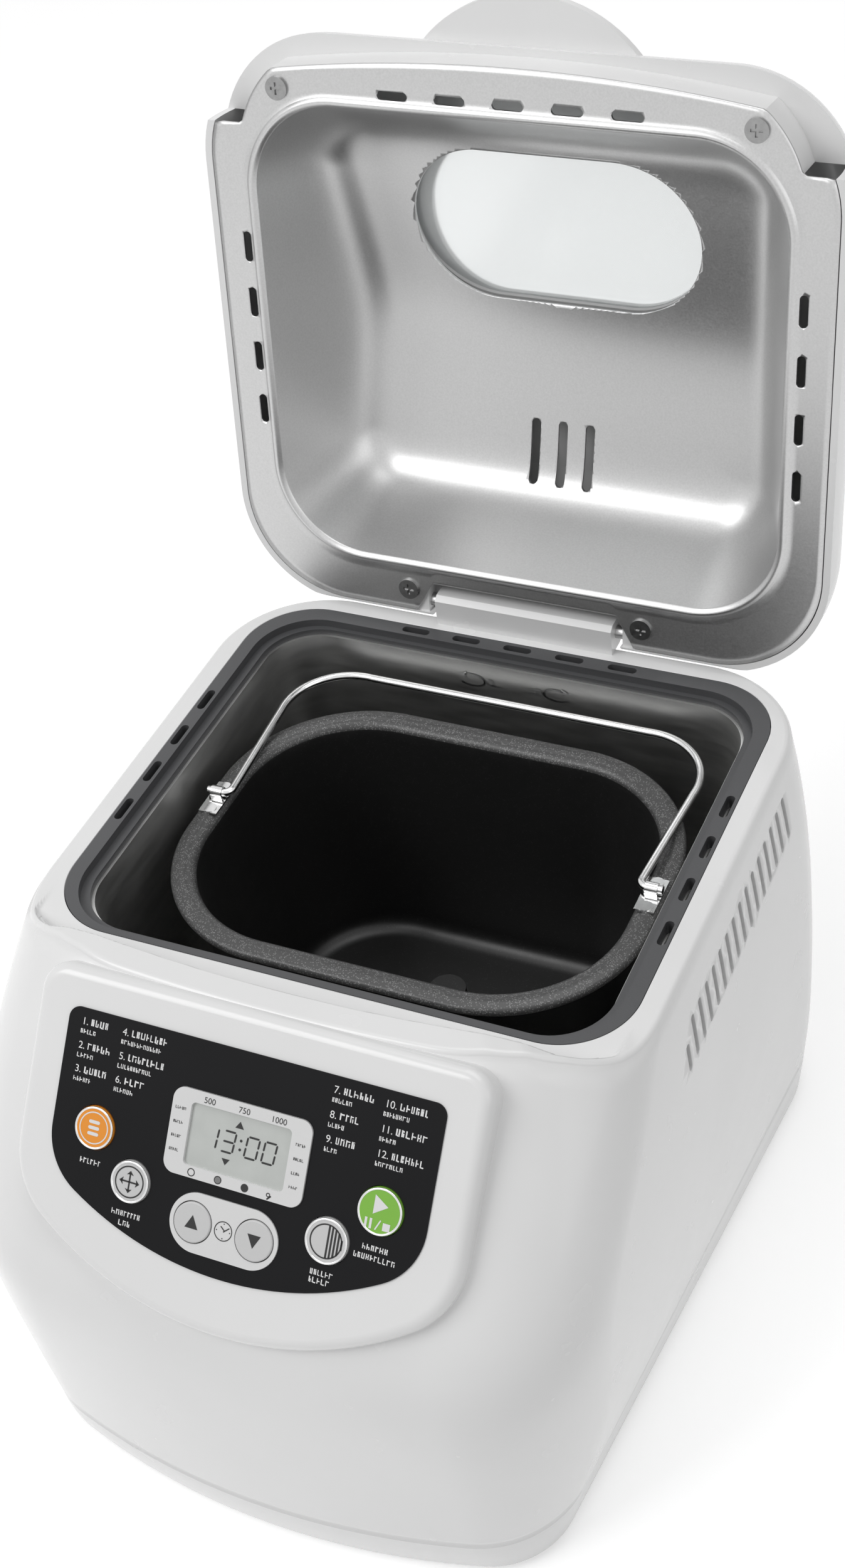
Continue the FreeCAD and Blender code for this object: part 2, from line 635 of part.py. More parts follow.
gland = gland.fuse(Part.makeCylinder(gf, GLAND_OUT, V(gx, REAR_Y, gz), V(0, 1, 0))).removeSplitter()
save("cord_gland", gland.cut(Part.makeCylinder(gb, 60, V(gx, REAR_Y - 30, gz), V(0, 1, 0))))

# Control panel: pillow fascia, printed sheet, display and keys
face = prism(panel_outline(FASCIA, -FASCIA_DEPTH), FASCIA_DEPTH)
front_edges = [e for e in face.Edges if abs(e.BoundBox.ZMin) < 0.01 and abs(e.BoundBox.ZMax) < 0.01]
face = face.makeFillet(FASCIA_ROUND, front_edges)
face = face.cut(prism(panel_outline(FASCIA, -FASCIA_DEPTH, -WALL), FASCIA_DEPTH - FASCIA_FACE))
face = face.cut(panel_rect(LCD, -20, 5))
sheet = prism(panel_outline(OVERLAY, 0), OVERLAY_T)
sheet = sheet.cut(panel_rect(BEZEL, -1, 5, PRINT_GAP)).cut(capsule(-1, 5, PRINT_GAP))
key_plate = capsule(0, CAPSULE_T)
board = panel_rect(BOARD, -BOARD_BACK - BOARD_T, -BOARD_BACK)
for name, (u, v, r) in BUTTONS.items():
    well = rod(u, -v, r, -20, 5)
    face = face.cut(well)
    sheet = sheet.cut(well)
    key_plate = key_plate.cut(well)
    cap = rod(u, -v, r - BUTTON_FIT, -FASCIA_FACE - BUTTON_BACK, BUTTON_PROUD)
    cap = cap.makeFillet(BUTTON_ROUND, [e for e in cap.Edges if abs(e.BoundBox.ZMin - BUTTON_PROUD) < 0.01])
    back = -FASCIA_FACE - BUTTON_BACK
    cap = cap.fuse(rod(u, -v, r + BUTTON_FLANGE, back - BUTTON_FLANGE_T, back))
    cap = cap.fuse(rod(u, -v, BUTTON_STEM_R, back - BUTTON_FLANGE_T - BUTTON_STEM, back))
    save(name, on_panel(cap.removeSplitter()))
    key = box(u - SWITCH_HALF, u + SWITCH_HALF, -v - SWITCH_HALF, -v + SWITCH_HALF, -BOARD_BACK, -SWITCH_TOP)
    board = board.fuse(key)
for u, v in BOARD_POSTS:
    face = face.fuse(rod(u, -v, POST_R, -BOARD_BACK, -FASCIA_FACE))
save("control_fascia", on_panel(face.removeSplitter()))
save("panel_overlay", on_panel(sheet))
save("time_plate", on_panel(key_plate))
save("control_board", on_panel(board.removeSplitter()))
bezel = panel_rect(BEZEL, 0, BEZEL_T).cut(panel_rect(LCD_HOLE, -1, 5))
save("display_bezel", on_panel(bezel))
save("display_glass", on_panel(panel_rect(LCD, -LCD_T, 0)))

# Hinge block and pin
pts = [V(-BLOCK_HALF, y, level(z)) for y, z in BLOCK]
pts.append(pts[0])
knuckle = Part.Face(Part.makePolygon(pts)).extrude(V(2 * BLOCK_HALF, 0, 0))
hinge_pin = Part.makeCylinder(PIN_R, 2 * PIN_HALF, V(-PIN_HALF, HINGE_Y, level(HINGE_LEVEL)), V(1, 0, 0))
save("hinge_block", knuckle.cut(hinge_pin))
save("hinge_pin", hinge_pin)


# Lid, in its shut position: u runs to the front, d up into the dome
def lid_z(d):
    return level(LID_LEVEL) + d


def lp(x, u, d):
    return V(x, -u, lid_z(d))


def mirrored(points):
    return [(-x, u) for x, u in reversed(points)]


def lobe(d, inset=0.0):
    (x0, u0), (x1, u1), (x2, u2), nose = LID_LOBE
    x0 = x0 - inset
    x1 = x1 - inset * 0.8
    u1 = u1 - inset * 0.6
    x2 = x2 - inset * 0.5
    u2 = u2 - inset * 0.9
    nose = nose - inset
    return Part.Wire([arc(lp(x0, u0, d), lp(x1, u1, d), lp(x2, u2, d)),
                      arc(lp(x2, u2, d), lp(0, nose, d), lp(-x2, u2, d)),
                      arc(lp(-x2, u2, d), lp(-x1, u1, d), lp(-x0, u0, d)),
                      line(lp(-x0, u0, d), lp(x0, u0, d))])


def flange_outline(d):
    (sx0, su0), (sx1, su1), (sx2, su2), (sx3, su3), (sx4, su4) = LID_SIDE
    (rx, ru), rear = LID_REAR
    kx, ku = LID_CORNER
    right = [arc(lp(sx0, su0, d), lp(sx1, su1, d), lp(sx2, su2, d)),
             arc(lp(sx2, su2, d), lp(sx3, su3, d), lp(sx4, su4, d)),
             arc(lp(sx4, su4, d), lp(kx, ku, d), lp(rx, ru, d))]
    left = [arc(lp(-rx, ru, d), lp(-kx, ku, d), lp(-sx4, su4, d)),
            arc(lp(-sx4, su4, d), lp(-sx3, su3, d), lp(-sx2, su2, d)),
            arc(lp(-sx2, su2, d), lp(-sx1, su1, d), lp(-sx0, su0, d))]
    back = arc(lp(rx, ru, d), lp(0, rear, d), lp(-rx, ru, d))
    top = line(lp(-sx0, su0, d), lp(sx0, su0, d))
    return Part.Wire([top] + right + [back] + left)


def dome(grow):
    foot = rrect(DOME_FOOT, lid_z(0), grow)
    top = rrect(DOME_TOP, lid_z(DOME_TOP_D + 4), grow)
    walls = Part.makeLoft([foot, top], True, True)
    far = 130.0
    fu, fd, fs = ROOF_FRONT
    ru, rd = ROOF_RIDGE
    pts = [lp(-far, far, -1), lp(-far, far, fd + grow - (far - fu) * fs), lp(-far, -ru, rd + grow),
           lp(-far, -far, rd + grow - (far - ru) * ROOF_REAR), lp(-far, -far, -1), lp(-far, far, -1)]
    roof = Part.Face(Part.makePolygon(pts)).extrude(V(2 * far, 0, 0))
    return walls.common(roof)


def shut_solid(rows, inset):
    return loft([rrect((w - inset, y0 + inset, y1 - inset, r - inset), lid_z(d)) for d, w, y0, y1, r in rows])


def open_lid(shape):
    shape = shape.copy()
    shape.rotate(V(0, HINGE_Y, level(HINGE_LEVEL)), V(1, 0, 0), -LID_OPEN)
    return shape


far = 200.0
axis_rod = Part.makeCylinder(KNUCKLE_R, 2 * far, V(-far, HINGE_Y, level(HINGE_LEVEL)), V(1, 0, 0))
heel = box(-far, far, HINGE_Y, HINGE_Y + far, lid_z(-9), level(HINGE_LEVEL)).cut(axis_rod)
notch_rod = Part.makeCylinder(NOTCH_R, 2 * NOTCH_X, V(-NOTCH_X, HINGE_Y, level(HINGE_LEVEL)), V(1, 0, 0))
notch_box = box(-NOTCH_X, NOTCH_X, -NOTCH_U, HINGE_Y + 40, lid_z(-3), level(HINGE_LEVEL))
notch = notch_rod.fuse(notch_box)

flange = prism(flange_outline(0), LID_LINER_T).fuse(prism(lobe(0), LID_LINER_T)).removeSplitter()
bead_out = block(BEAD, lid_z(-BEAD_H), lid_z(0), BEAD_HALF)
bead = bead_out.cut(block(BEAD, lid_z(-9), lid_z(9), -BEAD_HALF))
bead_edges = [e for e in bead.Edges if abs(e.BoundBox.ZMax - lid_z(-BEAD_H)) < 0.01]
bead = bead.makeFillet(BEAD_H * 0.9, bead_edges)
pan_in = dome(0.0)
pan_out = dome(LID_LINER_T)
lid_liner = flange.fuse(bead).fuse(pan_out).removeSplitter()
lid_liner = lid_liner.cut(pan_in)
mouth = block(DOME_FOOT, lid_z(-3), lid_z(0.01), 0.0)
lid_liner = lid_liner.cut(mouth)
cuts = [prism(stadium(0, -WINDOW_U, WINDOW_HALF, WINDOW_R, lid_z(10)), 80)]
for x in (-LID_VENT_X, 0, LID_VENT_X):
    mid = -(LID_VENT_U[0] + LID_VENT_U[1]) / 2
    half = (LID_VENT_U[1] - LID_VENT_U[0] - LID_VENT_W) / 2
    cuts.append(prism(stadium(x, mid, half, LID_VENT_W / 2, lid_z(15), False), 60))
for k in (-1.5, -0.5, 0.5, 1.5):
    for sx in (-LID_SLOT_X, LID_SLOT_X):
        outline = stadium(sx, k * SLOT_PITCH, (SLOT_LEN - SLOT_W) / 2, SLOT_W / 2, lid_z(-5), False)
        cuts.append(prism(outline, 10))
for k in (-2, -1, 0, 1, 2):
    outline = stadium(k * SLOT_PITCH, -LID_SLOT_U, (SLOT_LEN - SLOT_W) / 2, SLOT_W / 2, lid_z(-5))
    cuts.append(prism(outline, 10))
for x, u in LID_SCREWS:
    cuts.append(rod(x, -u, SCREW_R, lid_z(-5), lid_z(8)))
lid_liner = lid_liner.cut(Part.makeCompound(cuts)).cut(notch).cut(heel)
save("lid_liner", open_lid(lid_liner))

# Lid shell with the raised front channel, finger tab, hinge ears and screw bosses
solid = shut_solid(SHELL, 0.0)
void = shut_solid(SHELL, WALL)
void = void.cut(box(-far, far, -far, far, lid_z(SHELL[-1][0] - WALL), lid_z(100)))
front_zone = box(-far, far, -far, -LID_STEP_U + WALL, lid_z(-5), lid_z(CHANNEL_D + WALL))
keep = prism(lobe(-6, WALL), 40).fuse(box(-far, far, -LID_STEP_U - 0.1, far, lid_z(-6), lid_z(40)))
void = void.cut(front_zone.cut(keep))
outside = box(-far, far, -far, -LID_STEP_U, lid_z(-9), lid_z(CHANNEL_D)).cut(prism(lobe(-10), 60))
tab_wire = Part.Wire([arc(lp(TAB_X + 14, 98, TAB_D), lp(0, TAB_TIP, TAB_D), lp(-TAB_X - 14, 98, TAB_D)),
                      line(lp(-TAB_X - 14, 98, TAB_D), lp(TAB_X + 14, 98, TAB_D))])
tab = prism(tab_wire, TAB_T)
lid_shell = solid.cut(void)
ears = []
for s in (-1, 1):
    x0 = EAR_X0 if s > 0 else -EAR_X0 - EAR_T
    ears.append(box(x0, x0 + EAR_T, HINGE_Y - 6.5, HINGE_Y + 5.0, lid_z(LID_LINER_T), lid_z(16)))
bosses = []
for x, u in LID_SCREWS:
    bosses.append(rod(x, -u, BOSS_R, lid_z(LID_LINER_T), lid_z(40)).common(solid))
lid_shell = lid_shell.multiFuse([tab] + ears + bosses)
lid_shell = lid_shell.cut(outside).cut(box(-far, far, -far, far, lid_z(-30), lid_z(0)))
liner_room = prism(flange_outline(0), LID_LINER_T).fuse(prism(lobe(0), LID_LINER_T))
lid_shell = lid_shell.cut(liner_room)
cuts = [prism(stadium(0, -WINDOW_U, WINDOW_HALF, WINDOW_R, lid_z(40)), 60), notch, heel,
        Part.makeCylinder(PIN_R + PIN_FIT, 2 * far, V(-far, HINGE_Y, level(HINGE_LEVEL)), V(1, 0, 0))]
for x, u in LID_SCREWS:
    cuts.append(rod(x, -u, SCREW_R, lid_z(0), lid_z(SCREW_LEN)))
for c in cuts:
    lid_shell = lid_shell.cut(c)
save("lid_shell", open_lid(lid_shell))

# Window: gasket and pane bedded on the sloping dome
fu, fd, fs = ROOF_FRONT
tilt = math.degrees(math.atan(fs))
window_d = fd + (fu - WINDOW_U) * fs


def on_roof(wire_r, t0, t1):
    s = prism(stadium(0, 0, WINDOW_HALF, wire_r, t0), t1 - t0)
    s.Placement = FreeCAD.Placement(lp(0, WINDOW_U, window_d), FreeCAD.Rotation(V(1, 0, 0), tilt))
    return s


skin = LID_LINER_T * math.cos(math.radians(tilt))
pane_low = skin + SEAL_T
seal = on_roof(WINDOW_R + WINDOW_LAP, skin, pane_low).cut(on_roof(WINDOW_R + 0.8, skin - 1, pane_low + 1))
save("window_seal", open_lid(seal))
save("window_glass", open_lid(on_roof(WINDOW_R + WINDOW_LAP, pane_low, pane_low + GLASS_T)))
screws = []
for x, u in LID_SCREWS:
    head = rod(x, -u, SCREW_HEAD_R, lid_z(-SCREW_HEAD_T), lid_z(0))
    shank = rod(x, -u, SCREW_R, lid_z(-0.1), lid_z(SCREW_LEN))
    slot = box(x - CROSS_L / 2, x + CROSS_L / 2, -u - CROSS_W / 2, -u + CROSS_W / 2, lid_z(-3), lid_z(-0.3))
    cross = slot.copy()
    cross.rotate(V(x, -u, 0), V(0, 0, 1), 90)
    screws.append(open_lid(head.fuse(shank).removeSplitter().cut(slot.fuse(cross))))
save("lid_screws", Part.makeCompound(screws))


# Pan: drawn tub with a rolled rim, foot ring with lugs, bush
def pan_wire(spec, z):
    xh, yh, r = spec
    return rrect((xh, -yh, yh, r), z)


def grown(spec, t):
    return (spec[0] + t, spec[1] + t, spec[2] + t)


rim_low = PAN_RIM_TOP - PAN_RIM_T
tub_foot = pan_wire(grown(PAN_FOOT_IN, PAN_T), PAN_BASE)
tub_mouth = pan_wire(grown(PAN_MOUTH, PAN_T), rim_low + 1)
tub = Part.makeLoft([tub_foot, tub_mouth], True, True)
tub = tub.makeFillet(PAN_ROUND + PAN_T, [e for e in tub.Edges if abs(e.BoundBox.ZMax - PAN_BASE) < 0.01])
room_foot = pan_wire(PAN_FOOT_IN, PAN_BASE + PAN_T)
room = Part.makeLoft([room_foot, pan_wire(PAN_MOUTH, PAN_RIM_TOP + 1)], True, True)
room = room.makeFillet(PAN_ROUND, [e for e in room.Edges if abs(e.BoundBox.ZMax - PAN_BASE - PAN_T) < 0.01])
rim = prism(pan_wire(PAN_RIM, rim_low), PAN_RIM_T)
rim = rim.makeFillet(PAN_RIM_ROUND, [e for e in rim.Edges if e.BoundBox.ZLength < 0.01])
pan = tub.fuse(rim).removeSplitter().cut(room)
cuts = [rod(0, 0, BUSH[0], PAN_BASE - 5, PAN_BASE + 5)]
for s in (-1, 1):
    for y in RIVET_Y:
        cuts.append(rod(s * (CLIP_X[0] + CLIP_X[1]) / 2, y, RIVET_R, PAN_RIM_TOP - 10, PAN_RIM_TOP + 5))
save("bread_pan", pan.cut(Part.makeCompound(cuts)))
foot = rod(0, 0, PAN_RING[0], PAN_RING_LOW, PAN_BASE)
lug = box(-LUG_R, LUG_R, -LUG_HALF, LUG_HALF, PAN_RING_LOW + 1, PAN_RING_LOW + 1 + LUG_T)
foot = foot.fuse(lug.common(rod(0, 0, LUG_R, 0, 100))).removeSplitter()
save("pan_foot", foot.cut(rod(0, 0, PAN_RING[1], 0, 100)))
bush = rod(0, 0, BUSH[0], BUSH[1], BUSH[2])
bush = bush.makeFillet(1.5, [e for e in bush.Edges if abs(e.BoundBox.ZMin - BUSH[2]) < 0.01])
save("pan_bush", bush.cut(rod(0, 0, SHAFT_R + SHAFT_FIT, 0, 100)))

# Handle clips: strap with a rolled eye, riveted to the rim
clips = []
rivets = []
clip_z = PAN_RIM_TOP + CLIP_T
for s in (-1, 1):
    x0 = min(s * CLIP_X[0], s * CLIP_X[1])
    x1 = max(s * CLIP_X[0], s * CLIP_X[1])
    strap = box(x0, x1, CLIP_Y[0], CLIP_Y[1], PAN_RIM_TOP, clip_z)
    e0 = min(s * EYE_X[0], s * EYE_X[1])
    long = EYE_X[1] - EYE_X[0]
    eye = Part.makeCylinder(EYE_R, long, V(e0, PIVOT_Y, PIVOT_Z), V(1, 0, 0))
    web_r = EYE_R * 0.9
    strap = strap.fuse(box(e0, e0 + long, PIVOT_Y - web_r, PIVOT_Y + web_r, PAN_RIM_TOP, PIVOT_Z)).fuse(eye)
    bore = Part.makeCylinder(WIRE_R + EYE_FIT, 60, V(s * 82 - 30, PIVOT_Y, PIVOT_Z), V(1, 0, 0))
    strap = strap.removeSplitter().cut(bore)
    mid = (x0 + x1) / 2
    for y in RIVET_Y:
        strap = strap.cut(rod(mid, y, RIVET_R, 100, 200))
        stem = rod(mid, y, RIVET_R, rim_low - 0.8, clip_z)
        rivets.append(stem.fuse(rod(mid, y, RIVET_R + 0.9, clip_z, clip_z + 0.35)).removeSplitter())
    clips.append(strap)
save("handle_clips", Part.makeCompound(clips))
save("clip_rivets", Part.makeCompound(rivets))

# Wire handle: pins, legs leaning outwards, rounded corners, straight grip
lean_x = (GRIP_X - LEG_X) / (GRIP_Y - PIVOT_Y)
leg_l = math.hypot(1, lean_x)
ux = lean_x / leg_l
uy = 1 / leg_l


def wp(x, y):
    return V(x, y, PIVOT_Z)


bend_a = wp(LEG_X + LEG_BEND + 0.4, PIVOT_Y)
bend_c = wp(LEG_X + ux * LEG_BEND, PIVOT_Y + LEG_BEND)
bend_b = wp(LEG_X + LEG_BEND * 0.34, PIVOT_Y + LEG_BEND * 0.28)
corner_t = GRIP_R * math.tan((math.pi / 2 - math.atan(lean_x)) / 2)
corner = wp(LEG_X + lean_x * (GRIP_Y - PIVOT_Y), GRIP_Y)
turn_a = wp(corner.x - ux * corner_t, corner.y - uy * corner_t)
turn_c = wp(corner.x - corner_t, GRIP_Y)
centre = wp(turn_c.x, GRIP_Y - GRIP_R)
out = corner - centre
out.normalize()
turn_b = centre + out * GRIP_R


def flip(p):
    return V(-p.x, p.y, p.z)


half = [line(wp(PIN_END_X, PIVOT_Y), bend_a), arc(bend_a, bend_b, bend_c),
        line(bend_c, turn_a), arc(turn_a, turn_b, turn_c)]
mirror = [line(turn_c, flip(turn_c)), arc(flip(turn_c), flip(turn_b), flip(turn_a)),
          line(flip(turn_a), flip(bend_c)),
          arc(flip(bend_c), flip(bend_b), flip(bend_a)), line(flip(bend_a), wp(-PIN_END_X, PIVOT_Y))]
wire_path = Part.Wire(half + mirror)
ring = Part.Wire([Part.makeCircle(WIRE_R, wp(PIN_END_X, PIVOT_Y), V(1, 0, 0))])
save("pan_handle", wire_path.makePipeShell([ring], True, True))

# Paddle on its own short shaft with the wing that the dog drives
save("pan_spindle", rod(0, 0, SHAFT_R, SHAFT[0], SHAFT[1]))
wing = box(-WING[0], WING[0], -WING[1], WING[1], WING[2], WING[3])
wing = wing.fuse(rod(0, 0, WING_HUB, WING[2], WING[3])).removeSplitter()
save("pan_wing", wing.cut(rod(0, 0, SHAFT_R, 0, 100)))
hub = Part.makeCone(HUB[0], HUB[0] - 2, HUB[2] - HUB[1], V(0, 0, HUB[1]))
foot_wire = rrect((BLADE_REACH / 2, -BLADE_T / 2, BLADE_T / 2, BLADE_T / 2.2), HUB[1] + 0.5)
top_wire = rrect((BLADE_REACH / 2 - 6, -BLADE_T / 3, BLADE_T / 3, BLADE_T / 3.4), HUB[1] + 0.5 + BLADE_H)
blade = Part.makeLoft([foot_wire, top_wire], True, True)
blade.translate(V(BLADE_REACH / 2, 0, 0))
paddle = hub.fuse(blade).removeSplitter().cut(rod(0, 0, SHAFT_R, 0, SHAFT[1]))
save("kneading_paddle", paddle)
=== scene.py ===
# %% [markdown]
# A bread machine with its lid open. The solids come packed as a fixed frame,
# and this lesson dresses them: every finish is a small node graph, and the
# pieces that need finer curves than the solids have are numpy surfaces.

import math

import bmesh
import bpy
import numpy as np
from mathutils import Matrix


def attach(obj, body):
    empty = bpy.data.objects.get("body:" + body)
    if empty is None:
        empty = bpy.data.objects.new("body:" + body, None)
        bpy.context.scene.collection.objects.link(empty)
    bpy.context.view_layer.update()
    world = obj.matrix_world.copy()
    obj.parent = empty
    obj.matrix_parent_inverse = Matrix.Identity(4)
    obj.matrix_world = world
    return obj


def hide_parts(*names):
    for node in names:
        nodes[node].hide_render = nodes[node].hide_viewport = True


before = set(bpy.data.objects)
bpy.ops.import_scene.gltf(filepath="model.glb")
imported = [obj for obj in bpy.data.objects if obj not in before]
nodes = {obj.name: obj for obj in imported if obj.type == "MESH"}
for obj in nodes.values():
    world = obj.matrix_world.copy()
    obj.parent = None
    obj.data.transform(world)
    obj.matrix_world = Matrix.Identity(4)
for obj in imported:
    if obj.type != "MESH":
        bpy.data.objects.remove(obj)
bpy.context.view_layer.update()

# %% [markdown]
# The camera was fitted to straight edges of the deck, lid and panel. Its place
# is given in millimetres from the deck's middle, so the deck's height and the
# shift of the origin are added. Blender's camera looks along its own -Z, so
# the three axes of the fit become the columns of its matrix.

# %% Camera
MM = 0.001
DECK_Z = 180.0
SHIFT_Y = 3.0
IMAGE_H = 2500.0
FOCAL_PX = 3574.49
SENSOR = 36.0
CAMERA_AT = np.array([286.07, -494.26 + SHIFT_Y, 514.76 + DECK_Z])
AZIMUTH, ELEVATION, ROLL = np.radians([29.81, 41.45, -8.76])


def placed(axes, origin):
    """The matrix that carries the unit axes to the given three and the origin to a place."""
    return Matrix([[*row, at] for row, at in zip(np.column_stack(axes), origin)] + [[0, 0, 0, 1]])


level = math.cos(ELEVATION)
back = np.array([math.sin(AZIMUTH) * level, -math.cos(AZIMUTH) * level, math.sin(ELEVATION)])
level_right = np.array([math.cos(AZIMUTH), math.sin(AZIMUTH), 0.0])
level_up = np.cross(back, level_right)
right = math.cos(ROLL) * level_right + math.sin(ROLL) * level_up
up = -math.sin(ROLL) * level_right + math.cos(ROLL) * level_up
camera_data = bpy.data.cameras.new("photo_camera")
camera_data.sensor_width = SENSOR
camera_data.lens = FOCAL_PX * SENSOR / IMAGE_H
camera = bpy.data.objects.new("photo_camera", camera_data)
camera.matrix_world = placed([right, up, back], CAMERA_AT * MM)
bpy.context.scene.collection.objects.link(camera)
bpy.context.scene.camera = camera
print("lens mm", round(camera_data.lens, 2))

# %% [markdown]
# Product photographs of white goods use a large soft light on one side and a
# pale surround, so that gloss shows broad reflections. The world is a plain
# grey for light and white for what the camera, glass and metal see.

# %% World and lamps
WORLD_LIT, WORLD_SEEN = 0.34, 1.0
scene = bpy.context.scene
scene.view_settings.view_transform = "Standard"
world = bpy.data.worlds.new("studio")
scene.world = world
world.use_nodes = True
sky = world.node_tree
sky.nodes.clear()
SKY_NODES = ("OutputWorld", "MixShader", "Background", "Background", "LightPath", "Math", "Math")
sky_out, sky_mix, sky_lit, sky_seen, sky_path, direct, seen_by = (
    sky.nodes.new("ShaderNode" + kind) for kind in SKY_NODES)
for background, strength in ((sky_lit, WORLD_LIT), (sky_seen, WORLD_SEEN)):
    background.inputs["Color"].default_value = (1.0, 1.0, 1.0, 1.0)
    background.inputs["Strength"].default_value = strength
for either in (direct, seen_by):
    either.operation = "MAXIMUM"
SKY_LINKS = (
    (sky_path.outputs["Is Camera Ray"], direct.inputs[0]),
    (sky_path.outputs["Is Glossy Ray"], direct.inputs[1]),
    (direct.outputs[0], seen_by.inputs[0]),
    (sky_path.outputs["Is Transmission Ray"], seen_by.inputs[1]),
    (seen_by.outputs[0], sky_mix.inputs[0]),
    (sky_lit.outputs[0], sky_mix.inputs[1]),
    (sky_seen.outputs[0], sky_mix.inputs[2]),
    (sky_mix.outputs[0], sky_out.inputs["Surface"]))
for source, socket in SKY_LINKS:
    sky.links.new(source, socket)


def soft_box(name, place, target, size, power):
    """A rectangular area lamp at place, turned to face target, in metres and watts."""
    lamp = bpy.data.lights.new(name, "AREA")
    lamp.shape = "RECTANGLE"
    lamp.size, lamp.size_y = size
    lamp.energy = power
    z = np.array(place) - np.array(target)
    z = z / np.linalg.norm(z)
    x = np.cross([0.0, 0.0, 1.0], z)
    x = x / np.linalg.norm(x)
    y = np.cross(z, x)
    obj = bpy.data.objects.new(name, lamp)
    obj.matrix_world = placed([x, y, z], place)
    scene.collection.objects.link(obj)


MIDDLE = (0.0, 0.0, 0.15)
soft_box("key_light", (-0.9, -1.0, 1.6), MIDDLE, (1.2, 1.0), 15.5)
soft_box("side_light", (1.5, -0.5, 0.9), MIDDLE, (0.9, 1.2), 2.4)
soft_box("top_light", (0.1, 0.3, 2.0), MIDDLE, (1.4, 1.0), 9.0)

# %% [markdown]
# Shader sums read best as plain arithmetic. Val wraps one socket, and each
# operator adds one Math node. Finish holds one material and has one method
# that adds any node by its type, settings and inputs.


# %% Shader arithmetic
class Val:
    """One output socket; +, *, a number less a socket and > each add one Math node."""

    def __init__(self, finish, socket):
        self.finish = finish
        self.socket = socket

    def _op(self, operation, a, b):
        return self.finish.node("ShaderNodeMath", {"operation": operation}, {0: a, 1: b})

    def __add__(self, other):
        return self._op("ADD", self, other)

    __radd__ = __add__

    def __mul__(self, other):
        return self._op("MULTIPLY", self, other)

    def __rsub__(self, other):
        return self._op("SUBTRACT", other, self)

    def __gt__(self, other):
        return self._op("GREATER_THAN", self, other)


class Finish:
    """A material named for what it coats, with the shader's sockets at hand."""

    def __init__(self, name, **sockets):
        self.mat = bpy.data.materials.new(name)
        self.mat.use_nodes = True
        self.tree = self.mat.node_tree
        self.shader = next(n for n in self.tree.nodes if n.type == "BSDF_PRINCIPLED")
        self.set(**sockets)

    def node(self, kind, settings=None, inputs=None, output=0):
        """Adds a node: settings first (stops fill a ramp), then values or links of its sockets."""
        n = self.tree.nodes.new(kind)
        for key, value in (settings or {}).items():
            if key == "stops":
                ramp = n.color_ramp
                for i, (at, colour) in enumerate(value):
                    stop = ramp.elements[i] if i < 2 else ramp.elements.new(at)
                    stop.position = at
                    stop.color = (*colour, 1.0)
            else:
                setattr(n, key, value)
        for key, value in (inputs or {}).items():
            self.plug(n.inputs[key], value)
        return Val(self, n.outputs[output])

    def plug(self, socket, value):
        if isinstance(value, Val):
            self.tree.links.new(value.socket, socket)
        elif isinstance(value, (tuple, list)) and len(value) == 3 and socket.type == "RGBA":
            socket.default_value = (*value, 1.0)
        else:
            socket.default_value = value

    def set(self, **sockets):
        for name, value in sockets.items():
            self.plug(self.shader.inputs[name.replace("_", " ")], value)
        return self

    def place(self):
        return self.node("ShaderNodeTexCoord", output="Object")

    def stretched(self, scale):
        return self.node("ShaderNodeMapping", None, {"Vector": self.place(), "Scale": scale})

    def noise(self, scale, detail=3.0, vector=None):
        inputs = {"Vector": vector or self.place(), "Scale": scale, "Detail": detail}
        return self.node("ShaderNodeTexNoise", None, inputs)

    def ramp(self, value, stops):
        return self.node("ShaderNodeValToRGB", {"stops": stops}, {"Fac": value})

    def bump(self, height, strength, distance):
        inputs = {"Height": height, "Strength": strength, "Distance": distance}
        return self.set(Normal=self.node("ShaderNodeBump", None, inputs))


def grey(v):
    return (v, v, v)


# %% [markdown]
# Moulded plastic is never quite even: its gloss wanders a little, its colour
# drifts by a shade, and a fine orange-peel lies in the skin. One function
# makes that plastic in any colour and gloss.


# %% Plastics and rubbers
DRIFT_SCALE, GLOSS_SCALE, GLOSS_WANDER, PEEL_HIGH = 14.0, 60.0, 0.08, 0.0002


def moulded(name, colour, gloss, peel=0.06, drift=0.04, coat=0.0, grain=900.0, ior=1.47):
    """Base colour drifts by a slow noise, roughness by a mid one, and a fine noise bumps the skin."""
    f = Finish(name)
    slow = f.noise(DRIFT_SCALE, 2.0)
    low = tuple(c * (1 - drift) for c in colour)
    f.set(Base_Color=f.ramp(slow, [(0.3, low), (0.7, colour)]))
    f.set(Roughness=f.noise(GLOSS_SCALE) * GLOSS_WANDER + (gloss - GLOSS_WANDER / 2))
    f.set(IOR=ior, Coat_Weight=coat, Coat_Roughness=0.08)
    f.bump(f.noise(grain, 2.0), peel, PEEL_HIGH)
    return f.mat


white_body = moulded("white_body", grey(0.84), 0.26, peel=0.02, coat=0.25)
white_fascia = moulded("white_fascia", grey(0.83), 0.24, coat=0.25)
deck_grey = moulded("deck_grey", (0.085, 0.086, 0.09), 0.42, peel=0.25, drift=0.12, grain=1600.0)
black_part = moulded("black_part", grey(0.03), 0.5, peel=0.2)
foot_rubber = moulded("foot_rubber", grey(0.05), 0.8, peel=0.4)
belt_rubber = moulded("belt_rubber", grey(0.03), 0.75, peel=0.4)
seal_rubber = moulded("seal_rubber", grey(0.5), 0.6, peel=0.2)
overlay_black = moulded("overlay_black", (0.008, 0.008, 0.009), 0.4, peel=0.05, drift=0.15, ior=1.22)
bezel_white = moulded("bezel_white", grey(0.74), 0.35, peel=0.05)
orange_key = moulded("orange_key", (0.86, 0.31, 0.03), 0.34, peel=0.05)
